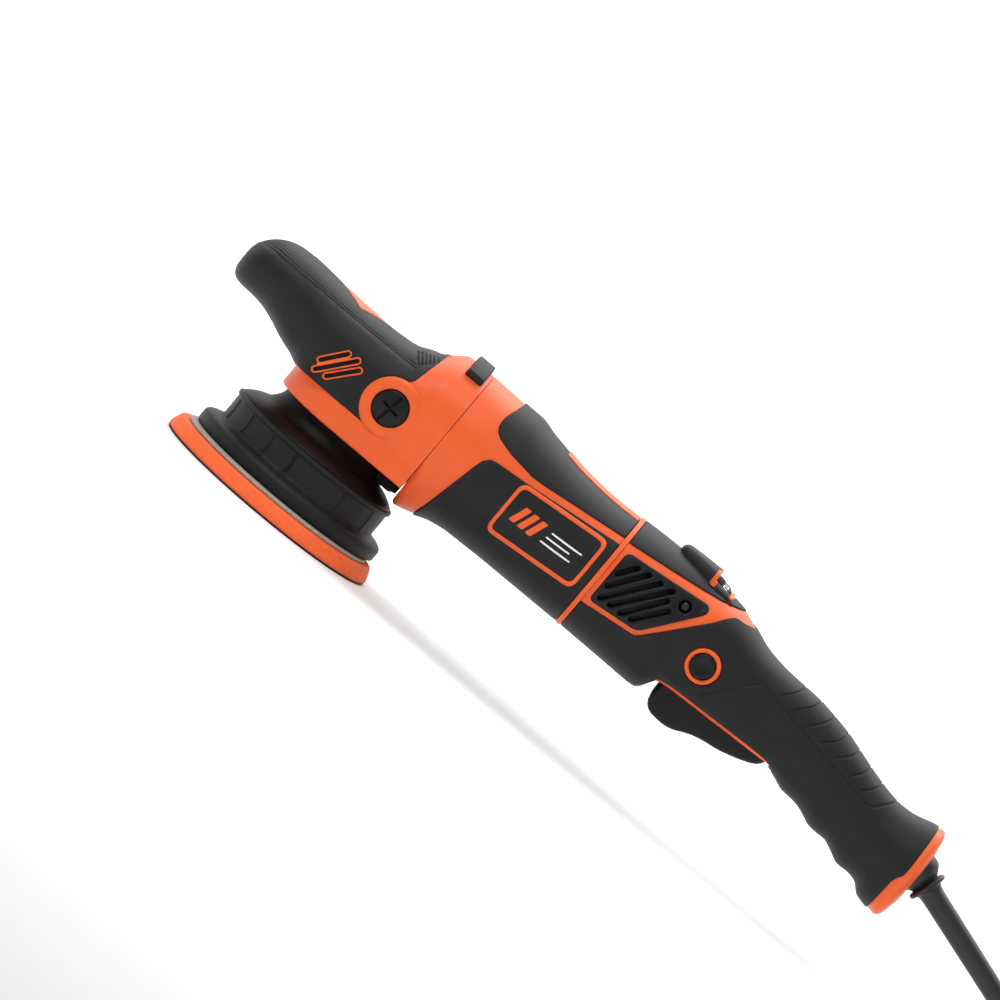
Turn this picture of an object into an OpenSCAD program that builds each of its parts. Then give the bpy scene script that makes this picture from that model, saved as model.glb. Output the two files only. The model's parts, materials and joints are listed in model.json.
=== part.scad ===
// Random-orbital car polisher: a corded machine with an offset pad, bevel gearing and a long rear handle.
// Millimetres. The origin is on the spindle axis at the pad's working face, +X runs back along the handle,
// +Z is up and -Y is the tool's left side.

/* [Pad and drive] */
// Diameter of the hook face that holds a polishing pad
pad_d = 125; // [120:1:126]
// Thickness of the foam under the backing plate
foam_t = 7.8; // [6:0.2:8.4]
// Distance from the spindle axis to the pad's own axis, along X
throw_x = -2.4; // [-3:0.1:0]
// Distance from the spindle axis to the pad's own axis, along Y
throw_y = -7.1; // [-7.5:0.1:-5]
// Height of the motor axis above the pad's face
motor_z = 81; // [80.5:0.1:81.5]
// Teeth on the motor's bevel pinion
pinion_teeth = 12; // [12:1:12]
// Teeth on the spindle's bevel gear
crown_teeth = 30; // [30:1:30]
// Outer module of the bevel gears
gear_module = 1.6; // [1.5:0.05:1.6]

/* [Housings] */
// Thickness of the plastic housings
wall_t = 2.6; // [2:0.1:3]
// How far the soft panels stand out of the housings
panel_t = 0.8; // [0.5:0.1:1]
// Thickness of the rubber grip over the head
grip_t = 3.5; // [3:0.1:3.6]
// Columns round a housing
seg = 32; // [24:8:40]

/* [Controls] */
// Diameter of the lock button
lock_d = 13; // [11:0.5:13]
// Diameter of the speed thumbwheel
dial_d = 24; // [22:0.5:24]
// Width of the trigger paddle
trigger_w = 24; // [20:1:24]

/* [Cord] */
// Diameter of the cord
cord_d = 8; // [7:0.5:8]
// Turns of cord in each layer of the coil
coil_turns = 4; // [3:1:4]
// Layers in the coil
coil_layers = 4; // [3:1:4]

/* [Hidden] */
$fn = 64;

orange = "#f2693b";
charcoal = "#343436";
dark = "#1d1d1f";
steel = "#b4b8bc";
copper = "#b5713c";
beige = "#b9b3a3";
alloy = "#a9adb0";

// The housings are lofts along X. Each row is [x, top, bottom, half width, roundness of the section].
HEAD = [
    [-88.9, 92, 82, 8, 2.1], [-88, 96, 79, 14, 2.1], [-85, 100.5, 76.4, 20, 2.2],
    [-80, 104.6, 75.6, 24, 2.3], [-75, 107, 75.4, 26.5, 2.4], [-68, 108.4, 74.6, 28.5, 2.4],
    [-60, 108.6, 72.4, 30, 2.5],
    [-50, 108, 68.6, 31, 2.5], [-40, 107, 64.6, 32, 2.5], [-30, 106.3, 61, 33.5, 2.5],
    [-15, 106, 57, 35, 2.5], [0, 106.8, 54, 36, 2.5], [5, 107.6, 53.5, 36.5, 2.5],
    [12, 111, 53, 36.8, 2.5], [20, 114.8, 52.5, 37.2, 2.5], [24, 118.3, 52, 37.6, 2.5],
    [28, 120, 51, 37.9, 2.4], [36, 120.4, 49, 38.2, 2.3], [44, 120.4, 45, 38.2, 2.3],
];
BARREL = [
    [44.2, 120.4, 42, 38.2, 2.3], [45.6, 120.4, 40.4, 38.4, 2.3], [50, 120.3, 41.2, 38.4, 2.3],
    [56, 120, 43, 38.2, 2.3], [65, 119.8, 46.2, 37.6, 2.2], [75, 119.7, 47.6, 37, 2.2],
    [85, 117.3, 47.9, 36.5, 2.2], [95, 115.5, 48.2, 36, 2.2], [110, 113.1, 48.3, 35.6, 2.2],
    [130, 112, 48.4, 35.4, 2.2], [144.5, 112.4, 48.5, 35.4, 2.2],
];
REAR = [
    [147.2, 113.6, 48.5, 35.4, 2.2], [160, 114.2, 48.4, 34.2, 2.2], [175, 114.4, 48.3, 32.4, 2.2],
    [188, 114.2, 48.2, 30.7, 2.2], [194, 113.8, 48.6, 29.9, 2.2], [198, 113.5, 53, 29.3, 2.2],
    [203, 113, 59, 28.5, 2.2], [214, 111.3, 59.3, 26.6, 2.2], [224, 107.7, 59.3, 24.8, 2.2],
    [235, 103.7, 59.6, 22.8, 2.2], [250, 101.8, 60.4, 20.6, 2.2], [270, 101, 60.4, 18.6, 2.2],
    [278, 99.9, 58.2, 18.2, 2.2], [290, 97.7, 56.4, 18, 2.2], [300, 94.9, 54, 18, 2.2],
    [305, 93.4, 51.8, 18, 2.2], [315, 90.5, 51.8, 18, 2.2], [323, 88.5, 48.4, 18.2, 2.2],
    [329, 87.5, 46, 18.6, 2.2], [334, 87, 46.3, 19.3, 2.2], [340, 87.3, 45.4, 20.6, 2.2],
    [346, 88.6, 40.4, 22, 2.2], [353, 90.5, 38.6, 23.2, 2.2],
];
CAP = [
    [353.2, 91.3, 37.8, 24, 2.2], [357.5, 91.5, 37.6, 24.3, 2.2], [360, 90, 39, 23.2, 2.2],
    [361.4, 87, 41.8, 21, 2.2], [362.2, 81, 47, 16, 2.2],
];

// Outlines on the tool's side, as [x, z]
HEAD_ORANGE = [
    [60, 125], [60, 30], [-60, 30], [-60, 64.2], [-36, 64.2], [3, 64.6], [8, 65],
    [3, 69.5], [-0.5, 78.7], [3, 88.5], [6, 92.2], [13.5, 94], [16, 97], [17, 102.8],
    [20, 114.5], [21, 125],
];
PANEL_TOP = [[64, 123], [61.5, 112], [61, 108.3], [63, 104.1], [67, 101.3], [75, 99.2], [90, 97.5],
    [100, 98], [144.3, 102.9], [144.3, 123]];
PANEL_BOTTOM = [[56.5, 36], [56.8, 44], [65, 85.2], [67, 90.2], [71, 92],
    [90, 93.4], [144.3, 99.3], [144.3, 36]];
TOP_STRIP = [[96, 125], [97.5, 115.2], [105, 113.6], [120, 112.6], [144.3, 112.4], [144.3, 125]];
PLATE = [[88, 63], [140, 67.5], [140, 96.8], [88, 92.8]];
SIDE_FRAME = [[146, 65.8], [178, 69.4], [210, 107.8], [218, 108.5], [225, 109.6], [214, 113],
    [200, 109.5], [150, 102.8], [146, 102.6]];
VENT_COVER = [[149.6, 69], [178, 71.9], [199.6, 100.4], [198, 103.6], [149.6, 98.8]];
VENT_SLOTS = [[[152.6, 88], [158.5, 96]], [[152.6, 80.5], [165, 97]], [[153.6, 73.6], [172, 97.4]],
    [[159.5, 74], [179, 98]], [[166, 74], [180, 93]], [[172, 75], [183.5, 89.4]]];
HEAD_SLOTS = [[[-27.5, 75], [-19, 86]], [[-26, 69], [-12, 86]], [[-20, 70], [-9.5, 83]]];
PADDLE = [[203, 64.6], [203, 52], [204.5, 46.6], [208, 44], [213, 43], [219, 43.1], [224, 44.4], [232, 48],
    [240, 49.8], [247, 50.9], [256, 53.3], [263, 56.6], [268, 61], [268.6, 65], [265, 68.6], [260, 68.6]];
PADDLE_HOLLOW = [[206, 80], [206, 52], [208.5, 47.6], [214, 46], [223, 47.4], [232, 51], [246, 53.8],
    [255, 57.5], [257, 62], [257, 80]];
trigger_pivot = [264, 64.6];
dial_tilt = 11.3;
dial_at = [194.6, 0, 104.6];
lock_at = [214, 79.4];
plug_at = [15, 78.7];
boot_tilt = 17.6;
boot_at = [362, 0, 67.2];
// Screws across the rear housing, as [x, z, reach of their bosses]
SCREWS = [[252, 84, 19], [300, 74.5, 16.8], [342, 74, 17]];
// The motor screws' distance off the motor's axis
screw_off = 21.5;

// The stretch of cord between the boot and the coil, then the coil's own sizes
ROUTE = [[445.8, 0, 40.6], [452, 0, 38.7], [458, 0, 36.8], [464, 0, 35], [470, 0, 33.3], [476, 0, 31.8],
    [482, 0, 30.6], [488, 0, 29.7]];
coil_at = [520, 60];
coil_r = 48;
coil_in = coil_r - coil_turns * cord_d / 2;
coil_out = coil_r + coil_turns * cord_d / 2;
coil_h = coil_layers * cord_d;
plug_start = [566, -12, 7];

// ---- Helpers ----

function column(t, k) = [for (r = t) [r[0], r[k]]];
function power(v, e) = sign(v) * pow(abs(v), e);
// A point on a loft's section at x: a is the angle from the top, d is how far inside the surface it lies
function skin(t, x, a, d) =
    let (top = lookup(x, column(t, 1)), low = lookup(x, column(t, 2)), half = lookup(x, column(t, 3)))
    let (e = 2 / lookup(x, column(t, 4)))
    [x, (half - d) * power(sin(a), e), (top + low) / 2 + ((top - low) / 2 - d) * power(cos(a), e)];
// The stations of a loft between two x values
function stations(t, x0, x1) =
    concat([x0], [for (r = t) if (r[0] > x0 + 0.3 && r[0] < x1 - 0.3) r[0]], [x1]);
// Corners cut back by r, or by less on a short edge, and rounded with short curves
function cut_back(c, b, r) = c + (b - c) * min(r / norm(b - c), 0.42);
function rounded(p, r, k = 4) = [
    for (i = [0:len(p) - 1])
        let (c = p[i])
        let (ca = cut_back(c, p[(i + len(p) - 1) % len(p)], r))
        let (cb = cut_back(c, p[(i + 1) % len(p)], r))
        for (s = [0:k]) let (u = s / k) (1 - u) * (1 - u) * ca + 2 * u * (1 - u) * c + u * u * cb
];
function quad(a, b, c, d) = [[a, b, c], [a, c, d]];

// A wall between two depths of a loft, over the angles a0 to a1; a full turn closes on itself
module wall(t, xs, d_out, d_in, a0 = 0, a1 = 360) {
    full = a1 - a0 > 359;
    m = full ? seg : max(2, round(seg * (a1 - a0) / 360)) + 1;
    n = len(xs);
    step = full ? 360 / seg : (a1 - a0) / (m - 1);
    last = full ? m - 1 : m - 2;
    points = [for (d = [d_out, d_in], x = xs, j = [0:m - 1]) skin(t, x, a0 + j * step, d)];
    outer = [for (i = [0:n - 2], j = [0:last]) let (k = i * m + j, l = i * m + (j + 1) % m)
        each quad(k, l, l + m, k + m)];
    inner = [for (f = outer) [f[2] + n * m, f[1] + n * m, f[0] + n * m]];
    front = [for (j = [0:last]) let (l = (j + 1) % m) each quad(j, j + n * m, l + n * m, l)];
    e = (n - 1) * m;
    back = [for (j = [0:last]) let (l = (j + 1) % m)
        each quad(e + j, e + l, e + l + n * m, e + j + n * m)];
    sides = full ? [] : [for (i = [0:n - 2]) let (k = i * m, q = i * m + m - 1)
        each concat(quad(k, k + m, k + m + n * m, k + n * m), quad(q, q + n * m, q + m + n * m, q + m))];
    polyhedron(points, concat(outer, inner, front, back, sides));
}

// The whole inside of a loft, at depth d
module core(t, xs, d) {
    n = len(xs);
    points = [for (x = xs, j = [0:seg - 1]) skin(t, x, j * 360 / seg, d)];
    outer = [for (i = [0:n - 2], j = [0:seg - 1]) let (k = i * seg + j, l = i * seg + (j + 1) % seg)
        each quad(k, l, l + seg, k + seg)];
    caps = [[for (j = [seg - 1:-1:0]) j], [for (j = [0:seg - 1]) (n - 1) * seg + j]];
    polyhedron(points, concat(outer, caps));
}

// A side outline run across the tool from y0 to y1
module across(p, y0 = -60, y1 = 60) {
    translate([0, y1, 0]) rotate([90, 0, 0]) linear_extrude(y1 - y0) polygon(p);
}
// A plan outline run up from z0 to z1
module upright(p, z0, z1) {
    translate([0, 0, z0]) linear_extrude(z1 - z0) polygon(p);
}
// A tube or disc along Z, X or Y
module ring_z(r, bore, z0, z1) {
    translate([0, 0, z0]) difference() {
        cylinder(h = z1 - z0, r = r);
        if (bore > 0) translate([0, 0, -1]) cylinder(h = z1 - z0 + 2, r = bore);
    }
}
module along_x(z = motor_z) {
    translate([0, 0, z]) rotate([90, 0, 90]) children();
}
module at_side(p, side) {
    translate([p.x, 0, p.y]) rotate([side * 90, 0, 0]) children();
}
// A straight slot between two points, w wide
function slot(a, b, w) = let (u = (b - a) / norm(b - a), v = [-u.y, u.x]) rounded(
    [a - u * w / 2 - v * w / 2, b + u * w / 2 - v * w / 2,
     b + u * w / 2 + v * w / 2, a - u * w / 2 + v * w / 2],
    w * 0.45, 3);
module screw_z(at, length, head_r, r) {
    translate(at) {
        cylinder(h = length, r = r);
        translate([0, 0, -head_r * 0.6]) difference() {
            cylinder(h = head_r * 0.6, r = head_r);
            translate([0, 0, -1]) cylinder(h = 1 + head_r * 0.3, r = head_r * 0.5, $fn = 6);
        }
    }
}

// ---- Bevel gears: involute teeth on the back cone, drawn towards the apex where the two axes cross ----

function involute(a) = tan(a) * 180 / PI - a;
module bevel_teeth(teeth, mate, phase, face = 7.5) {
    r = gear_module * teeth / 2;
    cone = atan(teeth / mate);
    apex = r / tan(cone);
    rv = r / cos(cone);
    base = rv * cos(25);
    tip = rv + 0.8 * gear_module;
    root = rv - 1.1 * gear_module;
    low = max(base, root);
    shrink = 1 - face / (r / sin(cone));
    half = 90 * cos(cone) / teeth - 0.15 / rv * 180 / PI;
    function flank(q) = half + involute(25) - involute(acos(min(1, base / q)));
    function spot(q, a) = let (w = (phase + a / cos(cone)))
        [q * cos(cone) * cos(w), q * cos(cone) * sin(w), (q - rv) * sin(cone) - apex];
    radii = [low, (low + tip) / 2, tip];
    one = concat([[root, -flank(low)]], [for (q = radii) [q, -flank(q)]],
        [for (i = [2:-1:0]) [radii[i], flank(radii[i])]], [[root, flank(low)]]);
    loop = [for (i = [0:teeth - 1], p = one) spot(p[0], p[1] + i * 360 * cos(cone) / teeth)];
    n = len(loop);
    z_big = (root - rv) * sin(cone) - apex;
    points = concat(loop, shrink * loop, [[0, 0, z_big], [0, 0, z_big * shrink]]);
    faces = [for (j = [0:n - 1]) let (l = (j + 1) % n)
        each concat(quad(j, j + n, l + n, l), [[2 * n, j, l]], [[2 * n + 1, l + n, j + n]])];
    polyhedron(points, faces);
}

// ---- Head ----

module chamber() {
    ring_z(26.3, 0, 64, 76);
    ring_z(12, 0, 75, 94);
    along_x() translate([0, 0, -2]) cylinder(h = 29.5, r = 12.4);
}
module head_base(grow) {
    upright(concat([[43.9, -35.5 - grow], [43.9, 35.5 + grow]],
        [for (a = [90:9:270]) (35.5 + grow) * [cos(a), sin(a)]]), 51.5, 64.3 + grow);
}
module lug() {
    translate([29.6, -9, 44.6]) cube([11.4, 18, 4.2]);
}
module gear_housing() color(orange) difference() {
    union() {
        intersection() {
            core(HEAD, stations(HEAD, -36, 43.9), 0);
            across(HEAD_ORANGE);
        }
        core(HEAD, stations(HEAD, -35.5, 43.9), grip_t + 0.2);
        head_base(0);
        for (s = [-1, 1]) at_side(plug_at, s) translate([0, 0, 22]) cylinder(h = 17.2, r = 15.5);
    }
    chamber();
    ring_z(20, 0, 50, 64.5);
    ring_z(31.2, 0, 48, 51.5);
    ring_z(11, 0, 93, 100.2);
    lug();
    along_x() translate([0, 0, 27.4]) cylinder(h = 18, r = 13);
    along_x() translate([0, 0, 38]) cylinder(h = 8, r = 25);
    for (s = [-1, 1]) {
        at_side(plug_at, s) translate([0, 0, 30]) cylinder(h = 12, r = 9.3);
        at_side(plug_at, s) translate([0, 0, 27]) cylinder(h = 12, r = 4);
        for (z = [motor_z - screw_off, motor_z + screw_off])
            translate([26, s * screw_off, z]) rotate([0, 90, 0]) cylinder(h = 20, r = 2.2);
    }
    for (a = [45:90:315]) rotate([0, 0, a]) translate([25, 0, 51]) cylinder(h = 10, r = 1.6);
}
module head_grip() color(charcoal) difference() {
    core(HEAD, stations(HEAD, -88.9, 22), 0);
    core(HEAD, stations(HEAD, -85.2, 23), grip_t);
    across(HEAD_ORANGE);
    head_base(0.05);
    for (s = [-1, 1]) at_side(plug_at, s) translate([0, 0, 12]) cylinder(h = 40, r = 15.7);
}
module head_trim() color(orange) {
    intersection() {
        wall(HEAD, stations(HEAD, -46, -12), -0.7, -0.15, -45, 45);
        upright([[-42, 0], [-28, 17], [-14, 0], [-28, -17]], 90, 120);
    }
    for (s = [-1, 1]) intersection() {
        wall(HEAD, stations(HEAD, -33, -5), -0.6, -0.15, s > 0 ? 45 : 225, s > 0 ? 135 : 315);
        for (h = HEAD_SLOTS) across(slot(h[0], h[1], 5));
        difference() {
            translate([-40, -50, 60]) cube([50, 100, 40]);
            for (h = HEAD_SLOTS) across(slot(h[0], h[1], 2.8));
        }
    }
}
module side_plugs() color(dark) for (s = [-1, 1]) at_side(plug_at, s) difference() {
    union() {
        translate([0, 0, 30]) cylinder(h = 8.6, r = 9.2);
        translate([0, 0, 27]) cylinder(h = 3.1, r = 4);
    }
    for (a = [0, 90]) rotate([0, 0, a + 25]) translate([-6.5, -0.8, 36.8]) cube([13, 1.6, 3]);
}
module top_bumper() color(dark) wall(HEAD, stations(HEAD, 32, 41.6), -3.8, -0.15, -45, 45);
module spindle_bearings() color(steel) {
    ring_z(20, 8.54, 52.5, 64);
    ring_z(11, 4.04, 93.2, 100.2);
}
module bearing_retainer() color(alloy) difference() {
    ring_z(28.6, 14, 49.6, 51.5);
    for (a = [45:90:315]) rotate([0, 0, a]) translate([25, 0, 45]) cylinder(h = 10, r = 1.6);
}
module head_screws() color(steel) {
    for (a = [45:90:315]) rotate([0, 0, a]) screw_z([25, 0, 49.6], 10, 2.9, 1.6);
    for (y = [-screw_off, screw_off], z = [motor_z - screw_off, motor_z + screw_off])
        translate([0, y, z]) rotate([0, -90, 0]) screw_z([0, 0, -68], 40, 3, 2.2);
}
module neck_cone() color(dark) {
    rotate_extrude() polygon([[28.8, 49.3], [28.8, 51.4], [30.6, 51.4], [31, 47.5], [33, 44.5], [35.5, 42],
        [40.5, 40.2], [46, 36.9], [46.6, 36], [43.6, 36], [39.6, 38.2], [34.2, 40], [31.2, 43.3],
        [29, 47]]);
    lug();
}
module shroud() color(charcoal) rotate_extrude() polygon([
    [48.5, 11], [55, 11], [55.7, 12], [55.7, 16.5], [54.5, 18.4], [50, 19.9], [47.2, 20.6], [47, 33.2],
    [48.3, 34], [48.4, 35.2], [47.6, 35.9], [43.2, 35.9], [43.2, 34.6], [44.8, 34], [44.8, 22],
    [48.5, 18]]);

// ---- Motor housing and motor ----

module bearing_plate() color(alloy) along_x() difference() {
    union() {
        translate([0, 0, 38]) cylinder(h = 5.9, r = 25);
        translate([0, 0, 44]) cylinder(h = 2, r = 24);
        translate([0, 0, 43]) cylinder(h = 2, r = 24);
    }
    translate([0, 0, 30]) cylinder(h = 20, r = 7);
}
module motor_housing() color(orange) difference() {
    wall(BARREL, stations(BARREL, 44.2, 144.4), 0, wall_t);
    for (y = [-60, 10], x = [52:4:60]) across([[x, 46], [x + 2, 46], [x + 2, 58], [x, 58]], y, y + 50);
}
module panel_top() color(charcoal) difference() {
    intersection() {
        wall(BARREL, stations(BARREL, 58, 144.4), -panel_t, -0.12, -90, 90);
        across(PANEL_TOP);
    }
    across(TOP_STRIP);
}
module panel_bottom() color(charcoal) intersection() {
    wall(BARREL, stations(BARREL, 55, 144.4), -panel_t, -0.12, 45, 315);
    across(PANEL_BOTTOM);
}
module nameplates() color(orange) difference() {
    for (s = [-1, 1]) intersection() {
        wall(BARREL, stations(BARREL, 55, 144.4), -panel_t - 0.7, -panel_t - 0.12,
            s > 0 ? 45 : 225, s > 0 ? 135 : 315);
        across(rounded(PLATE, 5));
    }
    across(rounded([[90, 65.4], [138, 69.6], [138, 94.4], [90, 90.6]], 4));
}
module housing_band() color(orange) {
    wall(BARREL, [144.6, 147], -1.2, wall_t);
    intersection() {
        wall(BARREL, stations(BARREL, 94, 144.4), -panel_t - 0.3, -0.12, -40, 40);
        across([for (p = TOP_STRIP) [p.x, p.y + (p.y < 120 ? 0.3 : 0)]]);
    }
}
module stator_core() color(steel) along_x() difference() {
    translate([0, 0, 78]) cylinder(h = 44, r = 28);
    translate([0, 0, 70]) cylinder(h = 60, r = 20.2);
    for (a = [45:90:315]) rotate([0, 0, a]) translate([18, -5, 70]) cube([8, 10, 60]);
}
module field_coils() color(copper) along_x() {
    for (a = [45:90:315]) rotate([0, 0, a]) translate([20.6, -4.7, 78]) cube([5.2, 9.4, 44]);
    for (z = [71, 122], a = [-50, 130]) translate([0, 0, z]) rotate([0, 0, a + 45 - 35])
        rotate_extrude(angle = 110) translate([20.6, 0]) square([5.2, 7]);
}
module motor_bearings() color(steel) along_x() {
    ring_z(13, 5.04, 30, 38);
    ring_z(11, 4.04, 178, 185);
}
module brush_holders() color("#c9a24a") for (s = [-1, 1]) difference() {
    translate([158, s > 0 ? 15 : -27, motor_z - 6]) cube([11, 12, 12]);
    translate([159.5, -40, motor_z - 4.5]) cube([8, 80, 9]);
}
module carbon_brushes() color("#2b2b2d") for (s = [-1, 1])
    translate([159.6, s > 0 ? 13.1 : -22.1, motor_z - 4.4]) cube([7.8, 9, 8.8]);
module brush_springs() color(steel) for (s = [-1, 1])
    at_side([163.5, motor_z], s) translate([0, 0, 22.2]) for (k = [0:3])
        translate([0, 0, k * 1.2]) ring_z(3.6, 2.4, 0, 1);

// ---- Rear housing and handle ----

module trigger_opening(grow) {
    across([[199.6 - grow, 40], [273.4 + grow, 40], [273.4 + grow, 68.7], [199.6 - grow, 68.7]],
        -15.6 - grow, 15.6 + grow);
}
module dial_opening() {
    translate(dial_at) rotate([0, dial_tilt, 0]) translate([-6.4, -13.6, 0]) cube([12.4, 27.2, 30]);
}
module openings(grow) {
    trigger_opening(grow);
    dial_opening();
    at_side(lock_at, 1) translate([0, 0, 10]) cylinder(h = 40, r = 9.1);
}
module rear_half(side) difference() {
    union() {
        difference() {
            wall(REAR, stations(REAR, 147.2, 352.9), 0, wall_t, side > 0 ? 0 : 180, side > 0 ? 180 : 360);
            openings(0.05);
            across(rounded([for (p = VENT_COVER) p + 0.02 * (p - [175, 88])], 2, 2));
        }
        for (s = SCREWS) at_side(s, -side) cylinder(h = s.z, r = 4);
    }
    for (s = SCREWS) at_side(s, 1) translate([0, 0, -14.1]) cylinder(h = 28.2, r = 1.6);
}
module rear_housing_left() color(orange) rear_half(-1);
module rear_housing_right() color(orange) rear_half(1);
module grip_half(side) color(charcoal) difference() {
    wall(REAR, stations(REAR, 147.2, 352.9), -panel_t, -0.12,
        side > 0 ? 0.3 : 180.3, side > 0 ? 179.7 : 359.7);
    openings(0.05);
    across(SIDE_FRAME);
    across([[190.3, 112], [190.3, 122], [204.9, 122], [204.9, 112]], -14.6, 14.6);
}
module handle_grip_left() grip_half(-1);
module handle_grip_right() grip_half(1);
module dial_hood() color(charcoal)
    across([[168.6, 115.5], [171, 118.9], [180, 119.5], [190.2, 120], [190.2, 115.5]], -12, 12);
module dial_bezel() color(orange) difference() {
    union() {
        across([[190.3, 115.2], [190.3, 120], [192.2, 119.6], [192.2, 115]], -13, 13);
        across([[202.2, 113.6], [202.2, 115.1], [204.9, 114.6], [204.9, 113.4]], -13, 13);
        for (y = [-14.6, 13])
            across([[190.3, 114.8], [190.3, 116.6], [204.9, 114.6], [204.9, 113.4]], y, y + 1.6);
    }
    translate(dial_at) rotate([0, 90 + dial_tilt, 0]) translate([0, 0, -5])
        cylinder(h = 10, r = dial_d / 2 + 0.5);
}
module vent_covers() color(dark) for (s = [-1, 1]) difference() {
    intersection() {
        wall(REAR, [147.4, 160, 175, 188, 201], -1.3, 1.2, s > 0 ? 40 : 220, s > 0 ? 140 : 320);
        across(rounded(VENT_COVER, 2.4));
    }
    for (v = VENT_SLOTS) across(slot(v[0], v[1], 2.5));
    at_side([188.4, 96.4], -s) translate([0, 0, 10]) cylinder(h = 40, r = 1.7);
}
module housing_screws() color(steel) {
    for (s = [-1, 1]) at_side([188.4, 96.4], s) translate([0, 0, 18]) cylinder(h = 9, r = 1.6);
    for (s = SCREWS) at_side(s, 1) translate([0, 0, -14]) cylinder(h = 28, r = 1.6);
}
module lock_bezel() color(orange) at_side(lock_at, 1) translate([0, 0, 20])
    ring_z(9, lock_d / 2 + 0.1, 0, 9.8);
module trigger_trim() color(orange) intersection() {
    across([[199.7, 58.6], [203, 60.4], [210, 61.6], [230, 62], [250, 62.8], [262, 62.8], [270, 61.8],
        [273.3, 60.4],
        [273.3, 67.4], [199.7, 67.4]]);
    difference() {
        upright(rounded([[199.7, -15.5], [273.3, -15.5], [273.3, 15.5], [199.7, 15.5]], 3, 3), 50, 70);
        upright(rounded([[201.3, -13], [271, -13], [271, 13], [201.3, 13]], 2, 3), 49, 71);
        at_side(trigger_pivot, 1) translate([0, 0, -15.4]) cylinder(h = 30.8, r = 2);
    }
}
module trigger_pin() color(steel) at_side(trigger_pivot, 1) translate([0, 0, -15.4])
    cylinder(h = 30.8, r = 2);
module switch_body() color(dark) {
    translate([207, -9.5, 75]) cube([34, 19, 17]);
    translate([216, -4, 71.8]) cube([10, 8, 3.2]);
}
module speed_controller() color("#2f5d45") {
    translate([206, -9, 93.2]) cube([13, 18, 9.6]);
    translate(dial_at) rotate([0, 90 + dial_tilt, 0]) translate([0, 0, -5.5]) cylinder(h = 17.6, r = 2);
}
module cord_clamp() color(dark) difference() {
    union() {
        translate([318, -11, 64]) cube([14, 22, 5]);
        for (y = [-11, 7]) translate([318, y, 69]) cube([14, 4, 4]);
    }
    translate([310, 0, 74]) rotate([0, 90, 0]) cylinder(h = 40, r = 6);
}
module end_cap() color(orange) difference() {
    cap_wall();
    translate(boot_at) rotate([0, 90 + boot_tilt, 0]) translate([0, 0, -30]) cylinder(h = 60, r = 11.05);
}
module cap_wall() {
    difference() {
        core(CAP, stations(CAP, 353.2, 362.2), 0);
        core(CAP, [350, 353.4, 359], 4);
    }
}
module strain_relief() color(dark) translate(boot_at) rotate([0, 90 + boot_tilt, 0]) rotate_extrude()
    polygon([[0, -10], [11, -10], [11, 2.5], [8, 6], [8, 6.6], [10, 7], [10, 9.6], [8, 10], [6.4, 10.6],
        [6.2, 20], [5.4, 86], [5, 87.6], [0, 87.6]]);

// ---- Cord ----

function along(p, i) = let (d = p[min(i + 1, len(p) - 1)] - p[max(i - 1, 0)]) d / norm(d);
module tube(p, r, sides = 10) {
    n = len(p);
    points = [for (i = [0:n - 1], j = [0:sides - 1])
        let (t = along(p, i), u = cross([0, 1, 0], t), v = [0, 1, 0], a = j * 360 / sides)
        p[i] + r * (cos(a) * u + sin(a) * v)];
    wall = [for (i = [0:n - 2], j = [0:sides - 1]) let (k = i * sides + j, l = i * sides + (j + 1) % sides)
        each quad(k, k + sides, l + sides, l)];
    polyhedron(points, concat(wall, [[for (j = [0:sides - 1]) j],
        [for (j = [sides - 1:-1:0]) (n - 1) * sides + j]]));
}
module cord() color(dark) tube(ROUTE, cord_d / 2);
module tie_box(grow) {
    translate([coil_at.x, coil_at.y, 0]) rotate([0, 0, 150])
        translate([coil_in - 1.6 - grow, -6 - grow, -grow])
            cube([coil_out - coil_in + 3.2 + 2 * grow, 12 + 2 * grow, coil_h + 1.4 + grow]);
}
module cord_coil() color(dark) difference() {
    translate([coil_at.x, coil_at.y, 0]) rotate_extrude()
        polygon([[coil_in, 2], [coil_in + 2, 0], [coil_out - 2, 0], [coil_out, 2], [coil_out, coil_h - 2],
            [coil_out - 2, coil_h], [coil_in + 2, coil_h], [coil_in, coil_h - 2]]);
    difference() {
        tie_box(0.05);
        translate([coil_at.x, coil_at.y, 0]) rotate([0, 0, 150])
            translate([coil_in + 0.2, -8, 1.4]) cube([coil_out - coil_in - 0.4, 16, coil_h - 2.8]);
    }
}
module cord_tie() color(charcoal) difference() {
    tie_box(0);
    translate([coil_at.x, coil_at.y, 0]) rotate([0, 0, 150])
        translate([coil_in - 0.2, -8, 1.2]) cube([coil_out - coil_in + 0.4, 16, coil_h - 1]);
}
module plug() translate(plug_start) rotate([90, 0, 90]) {
    color(dark) rotate_extrude() polygon([[0, 0], [4.6, 0], [5.6, 20], [6.6, 30], [0, 30]]);
    color(dark) translate([0, 0, 30]) linear_extrude(36)
        polygon(rounded([[-13, -6.9], [13, -6.9], [17, 0], [13, 6.9], [-13, 6.9], [-17, 0]], 3));
    color(steel) for (x = [-9.5, 9.5]) translate([x, 0, 66]) cylinder(h = 19, r = 2.4);
}

// ---- Armature, turning about the motor axis ----

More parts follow.
